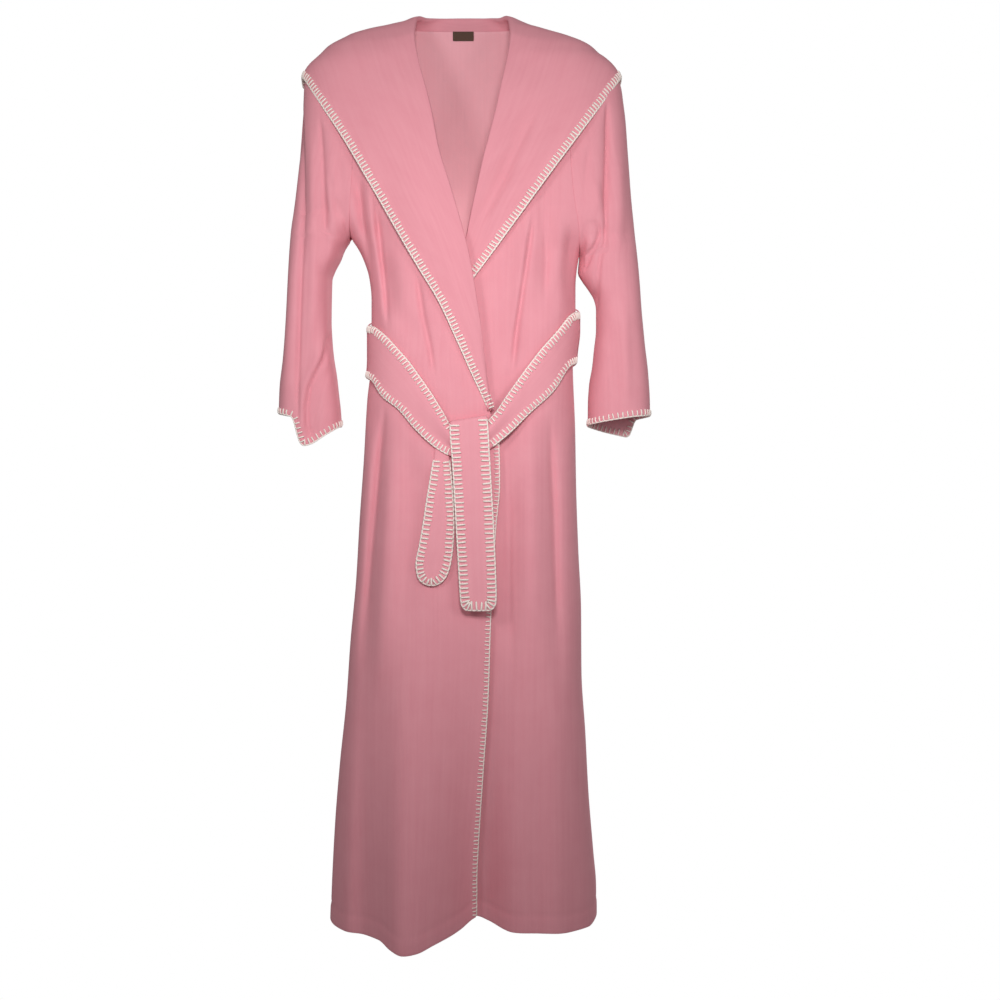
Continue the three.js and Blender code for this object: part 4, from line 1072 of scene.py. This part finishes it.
def collar_grid(side, stations, rows=230, cols=46):
    """stations: (roll point xyz, outer x, outer kind, outer value). kind 'L' is cloth length, 'z' a front height."""
    fmap, length_at = collar_map(side)
    R = np.array([s[0] for s in stations], float)
    k0 = max(i for i, s in enumerate(stations) if s[2] == "L")
    O = np.zeros((len(stations), 3))          # x, L, z of the outer edge
    for i, s in enumerate(stations):
        L = s[3] if s[2] == "L" else length_at(s[1], s[3])
        O[i] = s[1], L, fmap(np.array([s[1]]), np.array([L]))[0, 1]
    q = np.linspace(-640, 140, 1561)
    RL = np.zeros((len(stations), 2))
    for i, p in enumerate(R):
        yz = fmap(np.full(len(q), p[0]), q)
        RL[i] = p[0], q[int(np.argmin((yz[:, 0] - p[1]) ** 2 + (yz[:, 1] - p[2]) ** 2))]
    P = np.stack([O[:, 0], O[:, 1] * 0, O[:, 2]], -1)
    d = np.concatenate([[0], np.cumsum(np.maximum(4, np.hypot(np.diff(O[:, 0]), np.where(np.arange(len(O) - 1) < k0, np.diff(O[:, 1]), np.diff(O[:, 2])))
                                                  + 0.5 * np.linalg.norm(np.diff(R, axis=0), axis=1)))])
    u = np.linspace(0, d[-1], rows)
    cub = lambda arr: np.stack([Tab2(d, arr[:, k])(u) for k in range(arr.shape[1])], -1)
    R3, O3, R2 = cub(R), cub(O), cub(RL)
    for i in range(rows):
        if u[i] >= d[k0]:
            O3[i, 1] = length_at(O3[i, 0], min(O3[i, 2], O[k0, 2]))
    t = np.linspace(0, 1, cols)[None, :]
    x = R2[:, :1] + (O3[:, :1] - R2[:, :1]) * t
    L = R2[:, 1:] + (O3[:, 1:2] - R2[:, 1:]) * t
    yz = fmap(x, L)
    g = np.stack([x, yz[..., 0], yz[..., 1]], -1)
    # pass exactly through the roll line
    g += (R3 - g[:, 0])[:, None, :] * ((1 - t) ** 2.2)[..., None]
    return g, (u / d[-1])[:, None], u


class Tab2:
    """Catmull-Rom through (x, y) samples."""

    def __init__(self, x, y):
        self.x, self.y = np.asarray(x, float), np.asarray(y, float)
        m = np.gradient(self.y, self.x)
        self.m = m

    def __call__(self, t):
        t = np.clip(t, self.x[0], self.x[-1])
        i = np.clip(np.searchsorted(self.x, t) - 1, 0, len(self.x) - 2)
        h = self.x[i + 1] - self.x[i]
        s = (t - self.x[i]) / h
        return ((1 + 2 * s) * (1 - s) ** 2 * self.y[i] + s * (1 - s) ** 2 * h * self.m[i]
                + s * s * (3 - 2 * s) * self.y[i + 1] + s * s * (s - 1) * h * self.m[i + 1])


def roll_under(g, n, radius, tuck):
    """Adds the roll: the cloth turns under at the first column and runs back beneath the face.
    At the back of the neck it stands up from the neck seam instead."""
    e = g[:, 0] - g[:, 6]
    nn = n[:, 3]
    ker = np.hanning(15); ker /= ker.sum()
    e, nn = (np.stack([np.convolve(np.pad(a[:, k], 7, mode="edge"), ker, mode="valid") for k in range(3)], -1) for a in (e, nn))
    nn /= np.linalg.norm(nn, axis=1, keepdims=True) + 1e-12
    e -= (e * nn).sum(1, keepdims=True) * nn
    e /= np.linalg.norm(e, axis=1, keepdims=True) + 1e-12
    radius = np.convolve(np.pad(radius, 7, mode="edge"), ker, mode="valid")
    r = radius[:, None]
    cols = []
    root = g[:, 0] - nn * 2 * r
    seam = root.copy()
    seam[:, 2] = -15.0
    seam[:, 1] = depth(seam[:, 0], seam[:, 2], False, folds=False) + 0.6
    stand = smooth((g[:, 0, 1] - 4) / 22)[:, None]
    for d in np.linspace(1, 0, 9)[:-1]:
        plain = root - e * (tuck[:, None] * d)
        h1, h2 = root - e * 9.0, seam + np.array([0.0, 1.0, 9.0])
        bez = (1 - d) ** 3 * root + 3 * (1 - d) ** 2 * d * h1 + 3 * (1 - d) * d * d * h2 + d ** 3 * seam
        cols.append(plain * (1 - stand) + bez * stand)
    for th in np.linspace(math.pi, 0, 9)[:-1]:
        cols.append(g[:, 0] + e * r * math.sin(th) - nn * r * (1 - math.cos(th)))
    return np.concatenate([np.stack(cols, 1), g], 1)


def front_y(x, z, lift):
    return -(float(depth(x, z, True, folds=False)) + lift)


ST_R = [
    [(0.4, 44, 10.5), -0.4, "L", 200], [(-20, 43, 10.5), -72, "L", 188], [(-40, 36, 10), -142, "L", 152],
    [(-58, 20, 8), -200, "L", 98], [(-69.5, 0, 5), -229, "L", 38], [(-73.5, -17, -6), -235.8, "L", -4],
    [(-74, -31, -22), -229.5, "z", -92], [(-73, -40, -38), -214, "z", -115], [(-66.5, -49, -70), -199, "z", -138], [(-57.3, -59, -106), -172, "z", -180],
    [(-47, -66, -150), -135, "z", -243], [(-36, -72, -205), -99, "z", -306], [(-18, -77, -263), -62, "z", -370],
    [(2.5, -80, -335), -33, "z", -418], [(15, -82, -397), -7, "z", -474], [(24, -84, -455), 13, "z", -519],
    [(32, -86, -515), 28, "z", -551], [(38.5, -87, -563), 36.5, "z", -571]]
ST_L = [
    [(-0.4, 44, 10.5), 0.4, "L", 200], [(19, 43, 10.5), 68, "L", 188], [(37, 36, 10), 134, "L", 152],
    [(52, 20, 8), 190, "L", 98], [(63, 0, 5.5), 218, "L", 38], [(67, -17, -6), 225.2, "L", -4],
    [(68, -31, -22), 221, "z", -93], [(67.3, -40, -38), 206, "z", -115], [(61.5, -49, -70), 189, "z", -140], [(54, -59, -106), 161.3, "z", -178.7],
    [(45.5, -64, -148), 129, "z", -223], [(35.5, -68, -190), 96, "z", -268.5], [(26, -69, -226), 66, "z", -309],
    [(15.5, -68, -272), 38, "z", -347], [(4, -67, -325), 14, "z", -379], [(-7, -67, -372), -5, "z", -404]]


def finish_collar(side, st):
    g, s, u = collar_grid(side, st)
    x, z = g[..., 0], g[..., 2]
    front = (g[..., 1] < 0) & (z < -60)
    # lower down, the lapel settles towards the chest
    target_lift = 11.0 - 5.5 * smooth((-300 - z) / 200) if side < 0 else 11.0 - 4.5 * smooth((-240 - z) / 120)
    if side > 0:
        target_lift = target_lift - inner_inset(x, z)
    w = smooth((-120 - z) / 110) * (g[..., 1] < 0)
    y_new = -(depth(x, z, True, folds=False) + target_lift)
    t = np.linspace(0, 1, g.shape[1])[None, :]
    bulge = 3.0 * np.sin(np.pi * np.clip(t, 0, 1)) ** 1.0
    g[..., 1] = g[..., 1] * (1 - w) + (y_new - bulge * (side < 0)) * w
    n = normals(g)
    if (n[..., 2][:40].sum() + (n[..., 1] * np.sign(g[..., 1])).sum()) < 0:
        n = -n
    f = ripple(x * 1.2, z * 1.5, 41 if side < 0 else 43, 0.8) * smooth(t * 3) * np.ones_like(z)
    if side > 0:
        fr = (g[..., 1] < 0)
        f = f + fr * crease(x, z, [(108, -120), (88, -170), (55, -240), (22, -310), (10, -335)], -5.5, 14, 9)
        f = f + fr * crease(x, z, [(120, -150), (98, -205), (66, -262), (36, -318)], 2.4, 12)
    else:
        fr = (g[..., 1] < 0)
        f = f + fr * crease(x, z, [(-118, -90), (-98, -170), (-66, -260), (-28, -360)], 2.0, 26)
    g = g + n * f[..., None]
    n = normals(g)
    if (n[..., 1] * np.sign(g[..., 1])).sum() < 0:
        n = -n
    lift_now = np.where(g[:, 0, 1] < -30, -g[:, 0, 1] - depth(g[:, 0, 0], g[:, 0, 2], True, folds=False), 12.0)
    radius = np.clip((lift_now + (inner_inset(g[:, 0, 0], g[:, 0, 2]) if side > 0 else 0) - 0.6) / 2, 1.6, 3.6)
    back = smooth((g[:, 0, 1] + 30) / 50)
    tuck = 9.0 + 19.0 * back
    g[:, 0] = g[:, 0]
    full = roll_under(g, n, radius, tuck)
    m = normals(full)
    if (m[:, 18:, 1] * np.sign(full[:, 18:, 1])).sum() < 0:
        m = -m
    return full, m


LAPEL_SPAN_R = dict(start=(-0.060, -0.06, -0.100), end=(-0.030, -0.07, -0.250))
LAPEL_SPAN_L = dict(start=(0.058, -0.06, -0.100), end=(0.028, -0.07, -0.240))
collars = []
for side, st, name, node, lap, span, body, seed in (
        (-1, ST_R, "right_collar_cloth", "right_collar", "right_lapel", LAPEL_SPAN_R, "right_lapel_body", 51),
        (1, ST_L, "left_collar_cloth", "left_collar", "left_lapel", LAPEL_SPAN_L, "left_lapel_body", 52)):
    g, n = finish_collar(side, st)
    o, n = thick(name, g, T_CLOTH, n=n, material=KNIT)
    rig.blend(o, "torso", body, **span)
    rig.replaces(o, node, lap)
    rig.slot(o, "robe_knit")
    e, o_, nn = edge_frames(g, n, "last")
    s_ = blanket(name.replace("cloth", "stitches"), e[1:], o_[1:], nn[1:], T_CLOTH, YARN, pitch=5.5, bar=8.8, r=1.3, seed=seed)
    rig.blend(s_, "torso", body, **span)
    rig.replaces(s_, node + "_stitch", lap + "_stitch")
    collars.append((o, g))

# ---- belt ----------------------------------------------------------------------------------
def belt_band(name, g, replaced, material=BELT, t=T_BELT):
    n = facing(normals(g), g, (0, 0))
    o, n = thick(name, g, t, n=n, material=material, round_rim=3)
    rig.slot(o, "belt_knit")
    if replaced:
        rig.replaces(o, *replaced)
    return o, n


RUN_R = [(None, -445, -517), (-124, -456, -530), (-112, -467, -547), (-90, -493, -566), (-65, -525, -596), (-48.7, -546, -612), (-30, -575, -626),
         (-16, -597, -633), (2, -604, -636), (14, -604, -636)]
RUN_L = [(None, -425, -497), (150, -436, -507), (126, -465, -540), (93, -508, -571), (62, -551, -602), (40, -581, -620), (24, -594, -632), (8, -601, -636)]
BELT_LIFT, BELT_WIDE = 8.5, 5.5


def section(a, z, front, lift, wide):
    """Point of the body's section at angle a: 0 on the wearer's left side, pi on the right."""
    xl, xr = side_r(z) - wide, side_l(z) + wide
    c, s_ = np.cos(a), np.abs(np.sin(a))
    x = (xl + xr) / 2 + (xr - xl) / 2 * np.sign(c) * np.abs(c) ** E
    y = ((front_d(z) if front else back_d(z)) + lift) * s_ ** E
    return x, (-y if front else y)


def run_grid(rows, side, cols=26, count=110):
    top, bot = np.array([r[1] for r in rows], float), np.array([r[2] for r in rows], float)
    mid = (top + bot) / 2
    ang = []
    for r, zm in zip(rows, mid):
        if r[0] is None:
            ang.append(math.pi if side < 0 else 0.0)
            continue
        xl, xr = float(side_r(zm)) - BELT_WIDE, float(side_l(zm)) + BELT_WIDE
        q = (r[0] - (xl + xr) / 2) / ((xr - xl) / 2)
        ang.append(math.acos(math.copysign(abs(q) ** (1 / E), q)))
    ang = np.array(ang)
    X, Y = section(ang, mid, True, BELT_LIFT, BELT_WIDE)
    d = np.concatenate([[0], np.cumsum(np.linalg.norm(np.diff(np.stack([X, Y, mid], -1), axis=0), axis=1))])
    u = np.linspace(0, d[-1], count)
    a, top, bot = Tab2(d, ang)(u), Tab2(d, top)(u), Tab2(d, bot)(u)
    t = np.linspace(0, 1, cols)[None, :]
    z = top[:, None] + (bot - top)[:, None] * t
    A = np.broadcast_to(a[:, None], z.shape)
    x, y = section(A, z, True, BELT_LIFT, BELT_WIDE)
    inner = smooth((u[:, None] - 25) / 40)
    near = smooth((np.linspace(0, 1, count)[:, None] - 0.45) / 0.5)
    out = 0.6 * front_folds(x, z) * inner + near * (1.2 + 2.6 * np.sin(t * np.pi * 2.0 - 0.6)) + 0.8 * np.sin(np.pi * t)
    return np.stack([x, y - out, z], -1)


g_run_r = run_grid(RUN_R, -1)
g_run_l = run_grid(RUN_L, 1)


def back_run_grid(count=200, cols=26):
    f = np.linspace(0, 1, count)
    a = math.pi * (1 - f)
    side = smooth((np.abs(f - 0.5) - 0.2) / 0.3)
    top = -452 + side * np.where(f < 0.5, 7, 27)
    bot = -508 + side * np.where(f < 0.5, -9, 11)
    t = np.linspace(0, 1, cols)[None, :]
    z = top[:, None] + (bot - top)[:, None] * t
    x, y = section(np.broadcast_to(a[:, None], z.shape), z, False, BELT_LIFT, BELT_WIDE)
    g = np.stack([x, y, z], -1)
    # even spacing along the band
    L = np.concatenate([[0], np.cumsum(np.linalg.norm(np.diff(g[:, cols // 2], axis=0), axis=1))])
    q = np.linspace(0, L[-1], count)
    out = np.zeros_like(g)
    for j in range(cols):
        for k in range(3):
            out[:, j, k] = np.interp(q, L, g[:, j, k])
    return out


g_run_b = back_run_grid()
belt_objs = []
for name, g, node, seed in (("belt_right_band", g_run_r, "belt_right_run", 61), ("belt_left_band", g_run_l, "belt_left_run", 62), ("belt_back_band", g_run_b, "belt_back_run", 63)):
    o, n = belt_band(name, g, [node])
    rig.ride(o, "torso")
    belt_objs.append((o, g))
    for which, word in (("first", "top"), ("last", "bottom")):
        e, o_, nn = edge_frames(g, n, which)
        if name != "belt_back_band":
            m = len(e)
            cut = slice(6, int(m * (0.92 if word == "top" else 0.87)))
            e, o_, nn = e[cut], o_[cut], nn[cut]
        else:
            e, o_, nn = e[6:-6], o_[6:-6], nn[6:-6]
        st = blanket(f"{name}_{word}_stitches", e, o_, nn, T_BELT, YARN, pitch=5.8, bar=8.0, r=1.2, seed=seed + (0 if word == "top" else 7))
        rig.ride(st, "torso")
        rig.replaces(st, f"{node}_stitch_{word}")

# front tail: comes up from behind the crossing, folds over it and hangs
F_TAIL = [(-588, -17, 31), (-600, -16.5, 32), (-640, -13.5, 34.5), (-674, -11.5, 36.5), (-732, -8, 40), (-790, -4.5, 42.5), (-825, -2.4, 43.6), (-836, -1.4, 43.4),
          (-843, 0.8, 41), (-846.5, 5, 36.5)]
B_TAIL = [(-612, -37.5, -23), (-636, -40, -21.5), (-660, -43.5, -19), (-700, -50, -16), (-728, -54, -15), (-760, -59.5, -16.5), (-785, -64, -20),
          (-800, -62, -25), (-808, -57.5, -31), (-812.5, -50, -38)]


def tail_grid(rows, lift, cols=26, step=3.0, top_fold=None, seed=0, tuck=0.0):
    r = np.array(rows, float)
    d = np.concatenate([[0], np.cumsum(np.abs(np.diff(r[:, 0])))])
    u = np.linspace(0, d[-1], int(d[-1] / step))
    z, a, b = (np.interp(u, d, r[:, 0]), Tab(np.stack([d, r[:, 1]], 1).tolist())(u), Tab(np.stack([d, r[:, 2]], 1).tolist())(u))
    t = np.linspace(0, 1, cols)[None, :]
    X = a[:, None] + (b - a)[:, None] * t
    Z = np.broadcast_to(z[:, None], X.shape)
    # the tails hang straight from the knot rather than hugging the cloth
    mid = (a + b) / 2
    base = depth(np.broadcast_to(mid[:, None], X.shape), Z, True, folds=False)
    own = depth(X, Z, True, folds=False)
    y = np.maximum(0.6 * base + 0.4 * own, own) + lift - tuck * smooth((Z + 668) / 34)
    y = y + 0.9 * np.sin(np.pi * t) + 1.3 * np.sin(Z / 47.0 + seed) * (0.6 + 0.4 * t) * smooth((-640 - Z) / 60)
    g = np.stack([X, -y, Z], -1)
    if top_fold:
        r0, back = top_fold
        rowsf = []
        p = g[0]
        for dd in np.linspace(1, 0, 8)[:-1]:
            q = p.copy(); q[:, 1] += 2 * r0; q[:, 2] -= back * dd
            q[:, 0] = (q[:, 0] - q[:, 0].mean()) * (0.8 + 0.2 * (1 - dd)) + q[:, 0].mean()
            rowsf.append(q)
        for th in np.linspace(math.pi, 0, 11)[:-1]:
            q = p.copy(); q[:, 2] += r0 * math.sin(th); q[:, 1] += r0 * (1 - math.cos(th))
            rowsf.append(q)
        g = np.concatenate([np.stack(rowsf), g])
    return g


g_ft = tail_grid(F_TAIL, 15.5, top_fold=(6.5, 26.0), seed=0.4)
# the fold's top edge rises towards the wearer's left
tilt = (g_ft[..., 0] - 8) * 0.16 * smooth((g_ft[..., 2] + 660) / 60)
g_ft[..., 2] += tilt
g_bt = tail_grid(B_TAIL, 8.0, seed=1.9, tuck=3.6)


def tail_piece(name, g, t, body, nodes, stitch_node, pivot_z, seed, skip, bar):
    n = normals(g)
    # the hanging face points forward
    if n[-20:, :, 1].sum() > 0:
        n = -n
    o, n = thick(name, g, t, n=n, material=BELT, round_rim=3)
    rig.slot(o, "belt_knit")
    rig.blend(o, "torso", body, start=(0, 0, pivot_z + 0.012), end=(0, 0, pivot_z - 0.03))
    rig.replaces(o, *nodes)
    # down one edge, round the end, up the other
    e1, o1, n1 = edge_frames(g, n, "first")
    eb, ob, nb = edge_frames(g, n, "bottom")
    e2, o2, n2 = edge_frames(g, n, "last")
    E_ = np.concatenate([e1[skip:], eb[1:-1], e2[skip:][::-1]])
    N_ = np.concatenate([n1[skip:], nb[1:-1], n2[skip:][::-1]])
    tan = np.gradient(E_, axis=0)
    ker = np.hanning(7); ker /= ker.sum()
    tan = np.stack([np.convolve(np.pad(tan[:, k], 3, mode="edge"), ker, mode="valid") for k in range(3)], -1)
    tan /= np.linalg.norm(tan, axis=1, keepdims=True)
    O_ = np.cross(tan, N_)
    c = E_.mean(0)
    if (O_ * (E_ - c)).sum() < 0:
        O_ = -O_
    st = blanket(name + "_stitches", E_, O_, N_, t, YARN, pitch=6.3, bar=bar, r=1.4, seed=seed)
    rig.blend(st, "torso", body, start=(0, 0, pivot_z + 0.012), end=(0, 0, pivot_z - 0.03))
    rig.replaces(st, stitch_node)
    return o


ft = tail_piece("belt_front_tail_band", g_ft, T_BELT, "front_tail", ["belt_front_tail", "belt_knot"], "belt_front_tail_stitch", -0.626, 71, 16, 10.5)
bt = tail_piece("belt_back_tail_band", g_bt, T_BELT * 0.9, "back_tail", ["belt_back_tail"], "belt_back_tail_stitch", -0.636, 72, 9, 8.6)
belt_objs += [(ft, g_ft), (bt, g_bt)]

# ---- belt loops ----------------------------------------------------------------------------
for side, node, zt, zb, tabx in ((-1, "right_belt_loop", -440, -522, side_r), (1, "left_belt_loop", -420, -502, side_l)):
    paths = []
    for dy in (-1.5, 0.0, 1.5):
        at = lambda z, off: float(tabx(z)) + side * off
        pts = [(at(zt, -1.5), dy, zt), (at(zt, 1.6), dy, zt - 0.6), (at(zt - 4.5, BELT_WIDE + 0.2), dy, zt - 4.5)]
        pts += [(at(z, BELT_WIDE + 0.9), dy * 1.2, z) for z in np.linspace(zt - 11, zb + 11, 9)]
        pts += [(at(zb + 4.5, BELT_WIDE + 0.2), dy, zb + 4.5), (at(zb, 1.6), dy, zb + 0.6), (at(zb, -1.5), dy, zb)]
        p = np.array(pts)
        d = np.concatenate([[0], np.cumsum(np.linalg.norm(np.diff(p, axis=0), axis=1))])
        u = np.linspace(0, d[-1], 60)
        q = np.stack([Tab2(d, p[:, k])(u) for k in range(3)], -1)
        q[:, 1] += 0.35 * np.sin(u / 2.4 + dy * 2)
        paths.append(q)
    v, f, gr = tube_mesh(np.stack(paths), 0.8)
    o = make_object(node.replace("loop", "thread_loop"), v * MM, f, gr)
    o.data.materials.append(LOOP)
    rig.ride(o, "torso")
    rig.replaces(o, node)
    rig.slot(o, "robe_knit")

# ---- neck label ----------------------------------------------------------------------------
xs = np.linspace(-18, 12, 22)
zs = np.linspace(-10.5, -22.5, 12)
X, Z = np.meshgrid(xs, zs)
Yb = depth(X, Z, False, folds=True) - T_CLOTH - 0.7
g_lab = np.stack([X, Yb, Z], -1)
n = normals(g_lab)
if n[..., 1].sum() > 0:
    n = -n
lab, n = thick("blank_neck_label", g_lab + n * 0.8, 0.8, n=n, material=LABEL)
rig.ride(lab, "torso")
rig.replaces(lab, "neck_label")
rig.slot(lab, "label_weave")

# ---- sheets --------------------------------------------------------------------------------
for o, g, held, rests, flat in (
        (rf, g_rf, "hung", [], (0.36, 1.30)), (lf, g_lf, "hung", [], (0.36, 1.30)), (bk, g_bk, "hung", [], (0.48, 1.31))):
    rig.sheet(o, flat=flat, held=held, rests_on=rests, area=min(area_of(g), 0.999 * flat[0] * flat[1]))
for o, g in sleeves:
    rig.sheet(o, flat=(0.34, 0.54), held="hung", rests_on=["right_front" if "right" in o.name else "left_front"], area=min(area_of(g), 0.999 * 0.34 * 0.54))
for o, g in collars:
    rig.sheet(o, flat=(0.26, 0.86), held="draped", rests_on=["back", "right_front" if "right" in o.name else "left_front"], area=min(area_of(g), 0.999 * 0.26 * 0.86))
for o, g in belt_objs:
    w = float(np.linalg.norm(np.diff(g, axis=1), axis=2).sum(1).mean()) * MM
    l = float(np.linalg.norm(np.diff(g, axis=0), axis=2).sum(0).mean()) * MM
    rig.sheet(o, flat=(round(w, 3), round(l, 3)), held="hung" if "tail" in o.name else "stretched", rests_on=["back"] if "back_band" in o.name else ["right_front"])

# ---- set and light -------------------------------------------------------------------------
bpy.context.scene.view_settings.view_transform = "Standard"
world = bpy.data.worlds.new("world")
bpy.context.scene.world = world
world.use_nodes = True
wn = world.node_tree
sky = wn.nodes["Background"]
sky.inputs[0].default_value = (1, 0.985, 0.97, 1)
sky.inputs[1].default_value = 0.20
white = wn.nodes.new("ShaderNodeBackground")
white.inputs[0].default_value = (1, 1, 1, 1)
white.inputs[1].default_value = 1.0
path = wn.nodes.new("ShaderNodeLightPath")
mixer = wn.nodes.new("ShaderNodeMixShader")
wn.links.new(path.outputs["Is Camera Ray"], mixer.inputs[0])
wn.links.new(sky.outputs[0], mixer.inputs[1])
wn.links.new(white.outputs[0], mixer.inputs[2])
wn.links.new(mixer.outputs[0], wn.nodes["World Output"].inputs[0])

bpy.ops.mesh.primitive_plane_add(size=2.6, location=(0, 0, -1.87))
floor = bpy.context.object
floor.name = "floor"
fm = bpy.data.materials.new("pale_floor")
fm.use_nodes = True
fm.node_tree.nodes["Principled BSDF"].inputs["Base Color"].default_value = (0.94, 0.94, 0.94, 1)
fm.node_tree.nodes["Principled BSDF"].inputs["Roughness"].default_value = 0.9
floor.data.materials.append(fm)
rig.stage(floor)


def area_light(name, loc, target, size, power, color=(1, 1, 1), spread=180):
    d = bpy.data.lights.new(name, "AREA")
    d.shape = "RECTANGLE"
    d.size, d.size_y = size
    d.energy = power
    d.spread = math.radians(spread)
    d.color = color
    o = bpy.data.objects.new(name, d)
    bpy.context.scene.collection.objects.link(o)
    o.location = loc
    o.rotation_euler = (Vector(target) - Vector(loc)).to_track_quat("-Z", "Y").to_euler()
    return o


area_light("key", (-0.85, -1.35, 0.02), (0.0, 0, -0.45), (0.35, 0.35), 1.45, spread=100)
area_light("front", (0.08, -1.45, -0.19), (0.02, 0, -0.45), (0.30, 0.30), 2.75, spread=85)
area_light("side_fill", (1.0, -1.25, -0.35), (0.03, 0, -0.5), (0.4, 0.4), 0.95, spread=100)
area_light("back_soft", (0.8, 2.2, 0.2), (0, 0, -0.65), (1.2, 1.2), 30)
# daylight from behind that comes through the thin back and glows low in the neck opening
area_light("through_back", (-0.02, -0.03, -0.37), (-0.02, 0.05, -0.22), (0.08, 0.04), 0.05, color=(1, 0.93, 0.92), spread=140)

lo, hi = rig.bounds()
with open("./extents.json", "w") as f:
    json.dump({"cad": [list(CAD_BOX[0]), list(CAD_BOX[1])], "visual": [list(lo), list(hi)]}, f)
